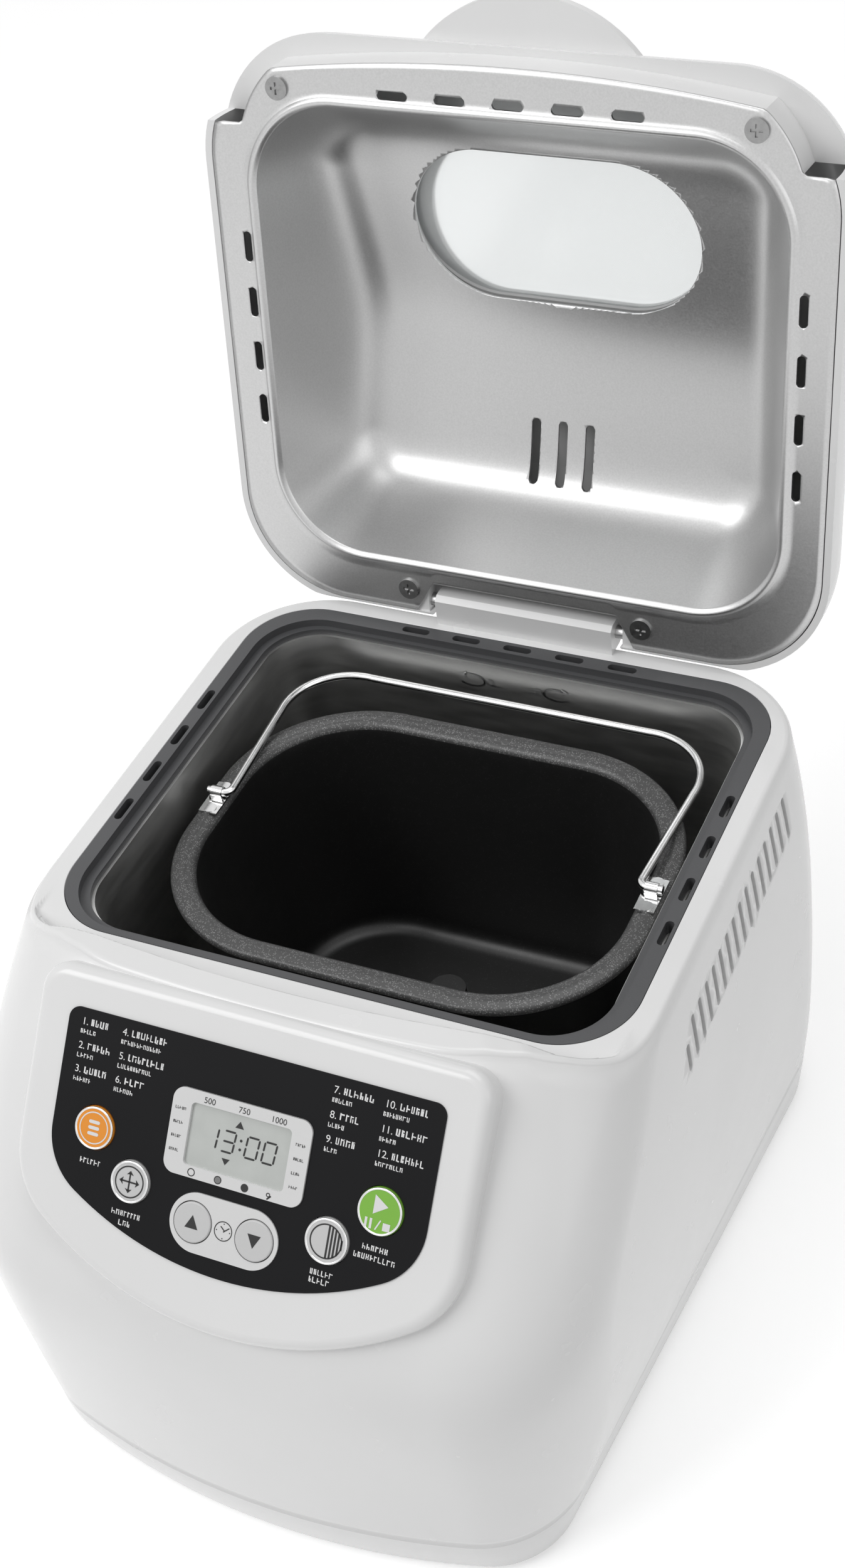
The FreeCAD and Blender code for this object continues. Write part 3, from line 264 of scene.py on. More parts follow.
green_key = moulded("green_key", (0.22, 0.5, 0.06), 0.34, peel=0.05)
white_key = moulded("white_key", grey(0.62), 0.36, peel=0.05)
board_green = moulded("board_green", (0.03, 0.16, 0.07), 0.5)
print("plastics ready")

# %% [markdown]
# Metals differ mostly in how their light is spread. Satin sheet has a fine
# grain, drawn wire is nearly a mirror, and the chamber's sheet is dull.


# %% Metals
def metal(name, colour, rough, wander=0.1, grain=(1.0, 1.0, 1.0), fine=700.0, relief=0.08, drift=0.12):
    """Metallic sheet: a stretched fine noise steers roughness, colour and a shallow bump."""
    f = Finish(name, Metallic=1.0)
    streak = f.noise(fine, 3.0, f.stretched(grain))
    low = tuple(c * (1 - drift) for c in colour)
    f.set(Base_Color=f.ramp(streak, [(0.3, low), (0.7, colour)]))
    f.set(Roughness=streak * wander + (rough - wander / 2))
    f.bump(streak, relief, 0.0001)
    return f.mat


satin_silver = metal("satin_silver", grey(0.56), 0.36, 0.12, fine=1500.0, relief=0.1, drift=0.1)
screw_steel = metal("screw_steel", grey(0.34), 0.3, 0.14)
chamber_steel = metal("chamber_steel", (0.62, 0.62, 0.61), 0.42, 0.14, (0.2, 0.2, 1.0), 300.0, 0.05)
heater_steel = metal("heater_steel", grey(0.13), 0.5, 0.2)
zinc_steel = metal("zinc_steel", grey(0.6), 0.36, 0.14)
bright_steel = metal("bright_steel", grey(0.78), 0.12, 0.06, fine=400.0, relief=0.03)
pan_cast = metal("pan_cast", grey(0.35), 0.5, 0.2)
motor_grey = moulded("motor_grey", (0.2, 0.21, 0.22), 0.45, peel=0.2)

# %% [markdown]
# The pan's dark coating is a non-stick film: satin, with pale flecks sprayed
# into it. The flecks are the small cells of a Voronoi pattern.


# %% Pan coating
def nonstick(name, base, fleck, amount):
    """Dark film; a Voronoi cell whose random colour passes a limit, near its middle, becomes a pale fleck."""
    f = Finish(name)
    cells = f.tree.nodes.new("ShaderNodeTexVoronoi")
    cells.inputs["Scale"].default_value = 1900.0
    f.tree.links.new(f.place().socket, cells.inputs["Vector"])
    near = Val(f, cells.outputs["Distance"])
    pick = f.node("ShaderNodeSeparateColor", None, {"Color": Val(f, cells.outputs["Color"])})
    dots = (pick > (1 - amount)) * (0.42 - near > 0.0)
    f.set(Base_Color=f.node("ShaderNodeMix", {"data_type": "RGBA"}, {"Factor": dots, 6: base, 7: fleck}, 2))
    f.set(Roughness=f.noise(240.0) * 0.12 + 0.32, IOR=1.5)
    f.bump(f.noise(1500.0, 2.0), 0.12, 0.0001)
    return f.mat


pan_inside = nonstick("pan_inside", grey(0.012), grey(0.03), 0.1)
pan_rim = nonstick("pan_rim", grey(0.06), grey(0.2), 0.45)

# %% [markdown]
# The window's pane lets light through and is a little hazy. The display is a
# grey-green face under a clear coat.

# %% Glass and display
window_pane = Finish("window_pane", Base_Color=(0.93, 0.95, 0.95), IOR=1.5, Transmission_Weight=0.85)
window_pane.set(Roughness=window_pane.noise(30.0) * 0.06 + 0.12)
display = Finish("display_face", IOR=1.5, Coat_Weight=0.6)
DISPLAY_TONES = [(0.3, (0.5, 0.52, 0.5)), (0.7, (0.54, 0.56, 0.54))]
display.set(Base_Color=display.ramp(display.noise(120.0), DISPLAY_TONES))
display.set(Roughness=display.noise(300.0) * 0.1 + 0.2)
print("finishes", len(bpy.data.materials))

# %% [markdown]
# Each solid keeps its shape and gets its finish by assignment, so the list
# below reads like the finish column of a parts list.

# %% Dress the solids
FINISH_OF = {
    white_body: "body_shell base_tray hinge_block lid_shell",
    white_fascia: "control_fascia",
    deck_grey: "deck_frame",
    black_part: "cord_gland capacitor driven_pulley motor_fan",
    foot_rubber: "rubber_feet",
    belt_rubber: "drive_belt",
    seal_rubber: "window_seal",
    overlay_black: "panel_overlay",
    bezel_white: "display_bezel time_plate",
    orange_key: "menu_button",
    green_key: "start_button",
    white_key: "size_button crust_button time_up_button time_down_button",
    board_green: "control_board power_board",
    satin_silver: "lid_liner",
    chamber_steel: "oven_liner pan_socket heater_cradles",
    heater_steel: "heating_element",
    screw_steel: "lid_screws",
    zinc_steel: "base_screws hinge_pin temperature_sensor spindle_bearing chassis_plate chassis_posts "
                "pan_spindle pan_wing drive_spindle drive_dog motor_shaft motor_pulley",
    bright_steel: "handle_clips clip_rivets pan_handle",
    pan_cast: "pan_foot pan_bush",
    motor_grey: "motor_body",
    pan_inside: "bread_pan kneading_paddle",
    window_pane.mat: "window_glass",
    display.mat: "display_glass",
}
for mat, names in FINISH_OF.items():
    for name in names.split():
        mesh = nodes[name].data
        mesh.materials.clear()
        mesh.materials.append(mat)
print("dressed", sum(len(v.split()) for v in FINISH_OF.values()))

# %% [markdown]
# New pieces are surfaces worked out as arrays. skin() takes a grid of points
# in millimetres and joins neighbours with quads; Inks gathers flat marks and
# makes one mesh of each colour. Both give meshes that sit at the origin.


# %% From arrays to meshes
def to_object(name, points, faces, finish, body):
    """Puts points (mm) and faces into one smooth mesh that rides on a body."""
    mesh = bpy.data.meshes.new(name)
    mesh.from_pydata((np.asarray(points) * MM).tolist(), [], faces)
    mesh.polygons.foreach_set("use_smooth", np.ones(len(mesh.polygons), bool))
    mesh.materials.append(finish)
    piece = bpy.data.objects.new(name, mesh)
    scene.collection.objects.link(piece)
    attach(piece, body)
    return piece


def grid_faces(m, n, wrap_m=False, wrap_n=False):
    """Quads between neighbours of an m by n grid of point numbers, closed round either way if asked."""
    ids = np.arange(m * n).reshape(m, n)
    if wrap_m:
        ids = np.vstack([ids, ids[:1]])
    if wrap_n:
        ids = np.hstack([ids, ids[:, :1]])
    return np.stack([ids[:-1, :-1], ids[1:, :-1], ids[1:, 1:], ids[:-1, 1:]], -1).reshape(-1, 4)


def skin(name, grid, finish, body, wrap_m=False, wrap_n=False):
    grid = np.asarray(grid)
    m, n = grid.shape[:2]
    return to_object(name, grid.reshape(-1, 3), grid_faces(m, n, wrap_m, wrap_n).tolist(), finish, body)


def weld(piece):
    """Joins points that lie on each other, and turns all faces outwards."""
    work = bmesh.new()
    work.from_mesh(piece.data)
    bmesh.ops.remove_doubles(work, verts=work.verts, dist=1e-6)
    bmesh.ops.recalc_face_normals(work, faces=work.faces)
    work.to_mesh(piece.data)
    work.free()


# %% [markdown]
# The panel's print lies on a sloping plane. A mark is drawn in the panel's own
# coordinates, u to the right and v down the slope, and t lifts it off the
# sheet. Polygons, boxes, discs, rings, strips, blocks and numbers make them.

# %% Marks on the panel plane
TILT = math.radians(50.5)
PANEL_AT = np.array([0.0, -123.07 + SHIFT_Y, 5.67 + DECK_Z])
INK = 0.06
SHEET_T = 0.45
DISC_N, RING_N = 48, 64
LETTER_WIDE, LETTER_STROKE, LETTER_GAP = (0.42, 0.72), (0.16, 0.24), 0.24


def on_panel(u, v, t):
    """Panel coordinates to the frame: v runs down the slope and t along the panel's normal."""
    u, v, t = np.broadcast_arrays(np.asarray(u, float), v, t)
    y = PANEL_AT[1] - v * math.cos(TILT) - t * math.sin(TILT)
    z = PANEL_AT[2] - v * math.sin(TILT) + t * math.cos(TILT)
    return np.stack([u + PANEL_AT[0], y, z], -1)


class Inks:
    """Flat marks of one colour: lists of points and faces that become one mesh."""

    def __init__(self, t, place=on_panel):
        self.t = t
        self.place = place
        self.points = []
        self.faces = []
        self.count = 0

    def add(self, u, v, faces):
        self.points.append(self.place(u, v, self.t))
        self.faces.extend((np.asarray(f) + self.count).tolist() for f in faces)
        self.count += len(self.points[-1])

    def polygon(self, uv):
        uv = np.asarray(uv, float)
        area = np.sum(uv[:, 0] * np.roll(uv[:, 1], -1) - uv[:, 1] * np.roll(uv[:, 0], -1))
        uv = uv if area < 0 else uv[::-1]
        self.add(uv[:, 0], uv[:, 1], [np.arange(len(uv))])

    def box(self, u0, v0, u1, v1):
        self.polygon([(u0, v0), (u1, v0), (u1, v1), (u0, v1)])

    def disc(self, u, v, r):
        a = np.linspace(0, 2 * np.pi, DISC_N, endpoint=False)
        self.polygon(np.column_stack([u + r * np.cos(a), v + r * np.sin(a)]))

    def ring(self, u, v, r0, r1):
        a = -np.linspace(0, 2 * np.pi, RING_N, endpoint=False)
        rr = np.array([r0, r1])[:, None]
        faces = grid_faces(2, RING_N, False, True)
        self.add((u + rr * np.cos(a)).ravel(), (v + rr * np.sin(a)).ravel(), faces)

    def strip(self, u, v, long, high, turn=0.0):
        """A bar with round ends from its left end's middle (u, v), turned about its centre."""
        a = np.linspace(-np.pi / 2, np.pi / 2, 9)
        r = high / 2
        half = long / 2 - r
        x = np.concatenate([half + r * np.cos(a), -half - r * np.cos(a)])
        y = np.concatenate([r * np.sin(a), -r * np.sin(a)])
        c, s = math.cos(math.radians(turn)), math.sin(math.radians(turn))
        self.polygon(np.column_stack([u + long / 2 + x * c - y * s, v + x * s + y * c]))

    def lettering(self, u, v, long, high, draw):
        """A line of set type seen from afar: blocks of uneven width and height that spell nothing."""
        at = u
        while at < u + long - 0.3 * high:
            wide = high * draw.uniform(*LETTER_WIDE)
            cut = high * draw.uniform(*LETTER_STROKE)
            lift = high / 2
            self.box(at, v - lift, at + cut, v + lift)
            bar = v + lift * draw.choice((-0.85, -0.1, 0.7))
            self.box(at + cut, bar, at + wide, bar + cut)
            if draw.uniform() < 0.55:
                top = v - lift * draw.choice((1.0, 0.1))
                self.box(at + wide - cut, top, at + wide, v + lift)
            at += wide + high * LETTER_GAP

    def text(self, words, u, v, high, middle=False):
        """Numbers set in Blender's own face, filled, flattened to a mesh, then laid on the plane."""
        curve = bpy.data.curves.new("number", "FONT")
        curve.body = words
        curve.size = high / 0.7
        curve.align_x = "CENTER" if middle else "LEFT"
        holder = bpy.data.objects.new("number", curve)
        mesh = bpy.data.meshes.new_from_object(holder)
        co = np.empty(len(mesh.vertices) * 3)
        mesh.vertices.foreach_get("co", co)
        co = co.reshape(-1, 3)
        mesh.calc_loop_triangles()
        tri = np.empty(len(mesh.loop_triangles) * 3, int)
        mesh.loop_triangles.foreach_get("vertices", tri)
        self.add(u + co[:, 0], v - co[:, 1], tri.reshape(-1, 3))
        bpy.data.objects.remove(holder)
        bpy.data.meshes.remove(mesh)
        bpy.data.curves.remove(curve)

    def make(self, name, finish, body):
        return to_object(name, np.concatenate(self.points), self.faces, finish, body)


# %% [markdown]
# The sheet carries twelve numbered programmes in four short columns. Beside
# and below each number stand rows of uneven blocks, drawn at random, which
# from afar have the grain of small print.

# %% Programme numbers and blocks
white_ink = moulded("white_ink", grey(0.8), 0.5, peel=0.02)
dark_ink = moulded("dark_ink", grey(0.012), 0.45, peel=0.02)
grey_ink = moulded("grey_ink", grey(0.2), 0.45, peel=0.02)

sheet_print = Inks(SHEET_T + INK)
draw = np.random.default_rng(12)
COLUMNS = ((-60.6, 3.4), (-45.7, 3.4), (28.4, 3.4), (45.5, 5.0))
ROWS = (4.3, 12.0, 19.6)
NUMBER_H, FIRST_H, SECOND_H, NOTE_H, SECOND_DROP = 2.3, 2.1, 1.4, 1.7, 2.1
FIRST = ((7.0, 8.0, 8.2), (13.0, 13.4, 6.8), (11.0, 7.0, 7.4), (10.0, 9.6, 10.4))
SECOND = ((5.2, 5.6, 6.2), (14.0, 12.0, 7.2), (7.2, 5.4, 4.6), (9.0, 5.4, 9.2))
for c, (u, gap) in enumerate(COLUMNS):
    for r, v in enumerate(ROWS):
        sheet_print.text(f"{c * len(ROWS) + r + 1}.", u, v, NUMBER_H)
        sheet_print.lettering(u + gap, v - NUMBER_H / 2, FIRST[c][r], FIRST_H, draw)
        sheet_print.lettering(u, v + SECOND_DROP, SECOND[c][r], SECOND_H, draw)
KEY_LINES = ((-53.6, 46.6, 7.2), (-39.6, 59.6, 10.4), (-36.6, 62.6, 4.4), (30.6, 59.4, 7.6),
             (30.6, 61.9, 6.4), (46.0, 47.2, 8.4), (43.6, 50.2, 13.2))
for u, v, long in KEY_LINES:
    sheet_print.lettering(u, v, long, NOTE_H, draw)
sheet_print.make("sheet_print", white_ink, "machine")
print("sheet marks", sheet_print.count)

# %% [markdown]
# The display is a grey liquid-crystal face behind a pale frame. Seven-segment
# digits are slim hexagons leaning a little; the frame carries loaf weights
# above and crust circles below.

# %% Display digits and frame marks
lcd = Inks(INK)
SEGMENTS = {"a": (0, 1, 0), "b": (0.5, 0.5, 1), "c": (0.5, -0.5, 1), "d": (0, -1, 0), "e": (-0.5, -0.5, 1),
            "f": (-0.5, 0.5, 1), "g": (0, 0, 0)}
DIGITS = {"1": "bc", "3": "abcdg", "0": "abcdef"}
DIGIT_W, DIGIT_H, LINE_W, LEAN = 4.1, 3.3, 0.62, 0.09
DIGIT_V, SEGMENT_GAP = 28.2, 0.18


def segment(x, y, upright):
    """A hexagon along x, or along y if upright, as wide as the digit's line."""
    half = (DIGIT_H if upright else DIGIT_W) / 2 - SEGMENT_GAP
    w = LINE_W / 2
    along = np.array([-half, -half + w, half - w, half, half - w, -half + w])
    across = np.array([0, w, w, 0, -w, -w])
    dx, dy = (across, along) if upright else (along, across)
    return x + dx, y + dy


for at, digit in ((-9.6, "1"), (-3.6, "3"), (4.6, "0"), (10.6, "0")):
    for key in DIGITS[digit]:
        sx, sy, upright = SEGMENTS[key]
        x, y = segment(sx * DIGIT_W, sy * DIGIT_H, upright)
        lcd.polygon(np.column_stack([at + x + LEAN * y, DIGIT_V - y]))
for v in (26.8, 29.6):
    lcd.disc(0.6, v, 0.45)
lcd.polygon([(-0.6, 21.0), (0.9, 23.2), (-2.1, 23.2)])
lcd.polygon([(-3.6, 35.6), (-5.0, 33.6), (-2.2, 33.6)])
lcd.make("display_digits", dark_ink, "machine")

BEZEL_T = 1.1
frame_print = Inks(BEZEL_T + INK)
for u, words in ((-11.5, "500"), (0.6, "750"), (12.6, "1000")):
    frame_print.text(words, u, 18.0, 1.9, True)
for v in (21.5, 26.0, 30.4, 34.8):
    frame_print.lettering(-22.9, v, 3.4, 0.9, draw)
    frame_print.lettering(19.3, v + 1.2, 3.2, 0.9, draw)
TONE_V, TONE_R = 40.4, 1.3
for u in (-14.0, -4.6):
    frame_print.ring(u, TONE_V, 1.0, TONE_R)
frame_print.disc(4.8, TONE_V, TONE_R)
frame_print.ring(13.0, TONE_V, 0.4, 0.7)
frame_print.strip(12.4, 41.2, 1.9, 0.5, -45)
frame_print.make("frame_print", dark_ink, "machine")
half_tone = Inks(BEZEL_T + INK)
half_tone.disc(-4.6, TONE_V, 0.95)
half_tone.make("frame_half_tone", grey_ink, "machine")

# %% [markdown]
# Four keys have a bright ring pressed round the cap, and all six a printed
# sign: lines, arrows, stripes, triangles. Rings and signs ride with their keys.
# The small clock between the two time keys stays on its plate.

# %% Key rings and signs
CAP_T = 1.4
KEYS = {"menu": (-50.0, 35.5, 7.3), "size": (-34.5, 49.0, 7.2),
        "crust": (34.5, 49.0, 7.6), "start": (50.0, 35.5, 7.8)}
BEAD_IN, BEAD_R, BEAD_SINK = 0.85, 0.42, 0.15
SIGN_T = CAP_T + INK


def key_ring(name, u, v, r, body):
    """A bead turned about the key's axis: a small circle's cosine sets its radius, its sine the height."""
    a = np.linspace(0, 2 * np.pi, 72, endpoint=False)[:, None]
    b = np.linspace(0, 2 * np.pi, 16, endpoint=False)
    rr = r - BEAD_IN - BEAD_R * np.cos(b)
    high = CAP_T - BEAD_SINK + BEAD_R * np.sin(b) + 0 * a
    grid = on_panel(u + rr * np.cos(a), v + rr * np.sin(a), high)
    return skin(name, grid, bright_steel, body, wrap_m=True, wrap_n=True)


def quarter_turns():
    """Cosine and sine of the four quarter turns."""
    return [(math.cos(k * math.pi / 2), math.sin(k * math.pi / 2)) for k in range(4)]


for key, (u, v, r) in KEYS.items():
    key_ring(key + "_ring", u, v, r, key + "_key")

u, v, _ = KEYS["menu"]
menu = Inks(SIGN_T)
menu.ring(u, v, 4.8, 5.2)
for k in (-1, 0, 1):
    menu.strip(u - 2.0, v + 1.9 * k, 4.0, 1.1)
menu.make("menu_sign", white_ink, "menu_key")

u, v, _ = KEYS["start"]
start = Inks(SIGN_T)
start.polygon([(u - 2.1, v - 4.9), (u + 2.6, v - 1.9), (u - 2.1, v + 1.1)])
for bar in (u - 4.3, u - 2.7):
    start.box(bar, v + 2.5, bar + 0.8, v + 5.7)
start.strip(u - 1.7, v + 4.1, 3.6, 0.45, -65)
start.box(u + 1.7, v + 3.0, u + 4.1, v + 5.4)
start.make("start_sign", white_ink, "start_key")

u, v, _ = KEYS["size"]
size = Inks(SIGN_T)
size.ring(u, v, 4.7, 5.15)
for turned_by in (0, 90):
    size.strip(u - 3.1, v, 6.2, 0.55, turned_by)
tip_x, tip_y = np.array([(3.6, 0.0), (2.2, 1.25), (2.5, 0.0), (2.2, -1.25)]).T
for c, s in quarter_turns():
    size.polygon(np.column_stack([u + tip_x * c - tip_y * s, v + tip_x * s + tip_y * c]))
size.make("size_sign", dark_ink, "size_key")

u, v, _ = KEYS["crust"]
STRIPE_W, STRIPE_PITCH, STRIPE_R = 0.65, 1.15, 5.1
crust = Inks(SIGN_T)
crust.ring(u, v, 5.0, 5.45)
for k in range(5):
    x = 0.25 + STRIPE_PITCH * k
    reach = math.sqrt(STRIPE_R ** 2 - x ** 2)
    crust.box(u + x, v - reach, u + x + STRIPE_W, v + reach)
crust.make("crust_sign", dark_ink, "crust_key")

TIME_U, TIME_V, PLATE_T = 10.8, 55.6, 0.9
for name, u, way in (("time_up", -TIME_U, 1), ("time_down", TIME_U, -1)):
    arrow = Inks(SIGN_T)
    low = TIME_V + 1.9 * way
    arrow.polygon([(u, TIME_V - 2.4 * way), (u + 2.3, low), (u - 2.3, low)])
    arrow.make(name + "_sign", dark_ink, name + "_key")

clock = Inks(PLATE_T + INK)
clock.ring(0.0, TIME_V, 2.85, 3.15)
clock.strip(-1.3, 54.8, 2.0, 0.36, 40)
clock.strip(-0.3, 55.0, 2.6, 0.36, -40)
for c, s in quarter_turns():
    clock.disc(2.3 * c, TIME_V + 2.3 * s, 0.2)
clock.make("clock_sign", dark_ink, "machine")
print("signs done")

# %% [markdown]
# The white body is one moulding: it swells below the panel, narrows to the
# base, and turns over into a rim round the deck with a raised console in
# front. Its plan at any height is four straight or bowed sides joined by
# tangent arcs, so each plan is sampled side by side in the same order, and
# the heights between the given ones are filled in by smooth curves.

# %% Body sections
# level, front half width, rear half width, front, bow radius, front corner radius
BODY = np.array([
    (-160.0, 102.0, 116.0, -181.2, 275.0, 38.0), (-145.0, 105.9, 117.5, -181.7, 290.0, 42.0),
    (-128.0, 109.4, 118.5, -181.8, 325.0, 46.0), (-110.0, 111.9, 118.9, -181.5, 390.0, 48.0),
    (-92.0, 113.5, 119.0, -180.6, 490.0, 48.5), (-79.0, 114.2, 118.8, -178.9, 590.0, 48.5),
    (-69.0, 114.5, 118.6, -175.9, 670.0, 48.5), (-60.0, 114.6, 118.3, -171.4, 730.0, 48.5),
    (-50.0, 114.6, 117.7, -164.4, 780.0, 49.0), (-36.0, 114.4, 116.6, -153.2, 790.0, 50.5),
    (-18.0, 113.3, 114.3, -138.6, 760.0, 54.0), (0.0, 111.0, 111.3, -123.8, 700.0, 58.0),
    (14.0, 107.0, 109.8, -112.3, 700.0, 58.0)])
BASE_LEVEL, CREST = BODY[0, 0], BODY[-1, 0]
REAR_Y, REAR_R, WALL = 101.0, 40.0, 2.5


def smooth_table(table, at):
    """Each column of table against its first, by cubic Hermite pieces with averaged slopes."""
    x = table[:, 0]
    slope = np.gradient(table[:, 1:], x, axis=0)
    i = np.clip(np.searchsorted(x, at) - 1, 0, len(x) - 2)
    h = (x[i + 1] - x[i])[..., None]
    s = ((at - x[i]) / (x[i + 1] - x[i]))[..., None]
    y0, y1 = table[i, 1:], table[i + 1, 1:]
    return ((2 * s ** 3 - 3 * s ** 2 + 1) * y0 + (s ** 3 - 2 * s ** 2 + s) * h * slope[i]
            + (3 * s ** 2 - 2 * s ** 3) * y1 + (s ** 3 - s ** 2) * h * slope[i + 1])


SIDE_N, REAR_N, BACK_N, CORNER_N, BOW_N = 26, 18, 24, 52, 60


def plan(levels, inset):
    """Plan outlines for an array of levels, from the front's middle all the way round: (levels, columns, 2).

    The side is the outer tangent of the rear and front corner circles; the front corner circle touches
    the bow circle from inside. An inset shrinks every radius and leaves the centres."""
    wf, wr, yf, rb, rf = np.moveaxis(smooth_table(BODY, np.clip(levels, BASE_LEVEL, CREST)), -1, 0)
    ax, ay = wr - REAR_R, REAR_Y - REAR_R
    yc = yf + rb
    bx = wf - rf
    by = yc - np.sqrt((rb - rf) ** 2 - bx ** 2)
    lean = np.arctan2(by - ay, bx - ax) + np.arccos((REAR_R - rf) / np.hypot(bx - ax, by - ay))
    swing = np.arctan2(by - yc, bx)

    def turned(cx, cy, r, a0, a1, n):
        a = a0[:, None] + (a1 - a0)[:, None] * np.linspace(0, 1, n, endpoint=False)
        return np.stack([cx[:, None] + r[:, None] * np.cos(a), cy[:, None] + r[:, None] * np.sin(a)], -1)

    one = np.ones_like(wf)
    r_rear, r_front, r_bow = one * (REAR_R - inset), rf - inset, rb - inset
    quarter = one * np.pi / 2
    rear = turned(ax, one * ay, r_rear, lean, quarter, REAR_N)
    corner = turned(bx, by, r_front, swing, lean, CORNER_N)
    side_start = np.stack([bx + r_front * np.cos(lean), by + r_front * np.sin(lean)], -1)[:, None]
    side = side_start + (rear[:, :1] - side_start) * np.linspace(0, 1, SIDE_N, endpoint=False)[:, None]
    back_x = ax[:, None] * np.linspace(1, 0, BACK_N, endpoint=False)
    back_half = np.stack([back_x, np.full_like(back_x, REAR_Y - inset)], -1)
    bow = turned(0 * one, yc, r_bow, -quarter, swing, BOW_N)
    half = np.concatenate([bow, corner, side, rear, back_half], 1)
    mirror = half[:, :0:-1] * np.array([-1.0, 1.0])
    middle = np.stack([0 * one, one * (REAR_Y - inset)], -1)[:, None]
    return np.concatenate([half, middle, mirror], 1)


# %% [markdown]
# On top, the rim is a height over the plan: zero round the deck, and a crest
# in front that falls off behind in a short wall and ramps down at its two
# shoulders. Each column of the body runs up the wall, rolls over the edge,
# crosses the top to the deck's opening and comes back underneath, so that the
# columns close up into one solid skin.

# %% Body shell
CONSOLE_BACK, CONSOLE_HALF, SHOULDER_R = -101.2, 103.0, 9.0
LID_BOW_R = 612.0
RAMP_X = (76.0, 86.4, 95.7, 101.9, 106.0, 110.0)
RAMP_H = (CREST, 12.2, 8.0, 4.2, 1.4, 0.0)
FADE_START, FADE_LONG = -72.0, 14.0
DECK_FIT = np.array([103.1, -86.6, 93.0, 26.3])
DECK_MIDDLE = (0.0, 3.0)
EDGE_R, DROP = 2.2, 1.7
FRONT_Y, CREST_REACH = -90.0, 4.0
WALL_N, ROLL_N, TOP_N, PLAN_N, ROLL_START = 40, 7, 72, 349, 0.15
FAR = 400.0


def smoothstep(x):
    x = np.clip(x, 0, 1)
    return x * x * (3 - 2 * x)


def rounded_box(x, y, spec):
    """Signed distance to a rectangle with round corners: negative inside."""
    hx, y0, y1, r = spec
    qx = np.abs(x) - (hx - r)
    qy = np.abs(y - (y0 + y1) / 2) - ((y1 - y0) / 2 - r)
    return np.hypot(np.maximum(qx, 0), np.maximum(qy, 0)) + np.minimum(np.maximum(qx, qy), 0) - r


def rim_height(x, y):
    """Crest height times a step past the console's back wall, under the shoulders' ramp.

    The back wall keeps clear of the shut lid's front edge, an arc of radius R:
    y = back + R - sqrt(R^2 - x^2)."""
    bow = LID_BOW_R - np.sqrt(LID_BOW_R ** 2 - x ** 2)
    before = rounded_box(x, y - bow, (CONSOLE_HALF, CONSOLE_BACK, FAR, SHOULDER_R))
    ramp = np.interp(np.abs(x), RAMP_X, RAMP_H) * smoothstep((FADE_START - y) / FADE_LONG)
    return ramp * smoothstep(before / DROP)


def ray_to_box(angle, spec, centre):
    """Where rays from a centre meet a rounded rectangle, by bisection on its signed distance."""
    lo, hi = np.zeros_like(angle), np.full_like(angle, FAR)
    for _ in range(40):
        mid = (lo + hi) / 2
        inside = rounded_box(centre[0] + mid * np.cos(angle), centre[1] + mid * np.sin(angle), spec) < 0
        lo, hi = np.where(inside, mid, lo), np.where(inside, hi, mid)
    return np.stack([centre[0] + lo * np.cos(angle), centre[1] + lo * np.sin(angle)], -1)


def body_profile(inset, top_drop):
    """Rows of points from the base up the wall, over the edge and across the top to the deck's opening."""
    base = plan(np.array([0.0]), inset)[0]
    top_at = rim_height(base[:, 0], base[:, 1] - CREST_REACH * (base[:, 1] < FRONT_Y)) - top_drop
    wall_s = np.linspace(0, 1, WALL_N)
    levels = BASE_LEVEL + wall_s[:, None] * (top_at - EDGE_R - BASE_LEVEL)
    grid = smooth_columns(levels, inset)
    rim = smooth_columns(top_at[None], inset)[0]
    goal = ray_to_box(np.arctan2(rim[:, 1] - DECK_MIDDLE[1], rim[:, 0]), DECK_FIT, DECK_MIDDLE)
    way = goal - rim[:, :2]
    unit = way / np.linalg.norm(way, axis=1, keepdims=True)
    roll = np.linspace(ROLL_START, 1, ROLL_N)[:, None, None] * np.pi / 2
    roll_xy = rim[None, :, :2] + EDGE_R * (1 - np.cos(roll)) * unit
    roll_z = np.broadcast_to(top_at - EDGE_R + EDGE_R * np.sin(roll[..., 0]), roll_xy.shape[:2])
    s = np.linspace(0, 1, TOP_N)[1:, None, None]
    start = rim[:, :2] + EDGE_R * unit
    top_xy = start + s * (goal - start)
    top_z = rim_height(top_xy[..., 0], top_xy[..., 1]) - top_drop
    top_z = np.minimum(top_z, top_at)
    over = np.concatenate([np.dstack([roll_xy, roll_z]), np.dstack([top_xy, top_z])])
    return np.concatenate([grid, over])


def smooth_columns(levels, inset):
    """Plan points where every column has its own level: interpolates between finely spaced plans."""
    fine = np.linspace(BASE_LEVEL, CREST, PLAN_N)
    plans = plan(fine, inset)
    at = np.clip((levels - BASE_LEVEL) / (fine[1] - fine[0]), 0, len(fine) - 1.001)
    i = at.astype(int)
    f = (at - i)[..., None]
    col = np.broadcast_to(np.arange(plans.shape[1]), i.shape)
    xy = plans[i, col] * (1 - f) + plans[i + 1, col] * f
    return np.dstack([xy, levels])


outside = body_profile(0.0, 0.0)
inside = body_profile(WALL, WALL)
loop = np.concatenate([outside, inside[::-1]])
loop = (loop + np.array([0.0, SHIFT_Y, DECK_Z]))[:, ::-1]
body = skin("body_moulding", loop, white_body, "machine", wrap_m=True, wrap_n=True)
weld(body)
print("body rows and columns", loop.shape[:2])

# %% [markdown]
# Sixteen slots in the right wall let heat out. Each cutter is a prism with a
# slot's outline, and one exact cut takes them all out of the moulding.


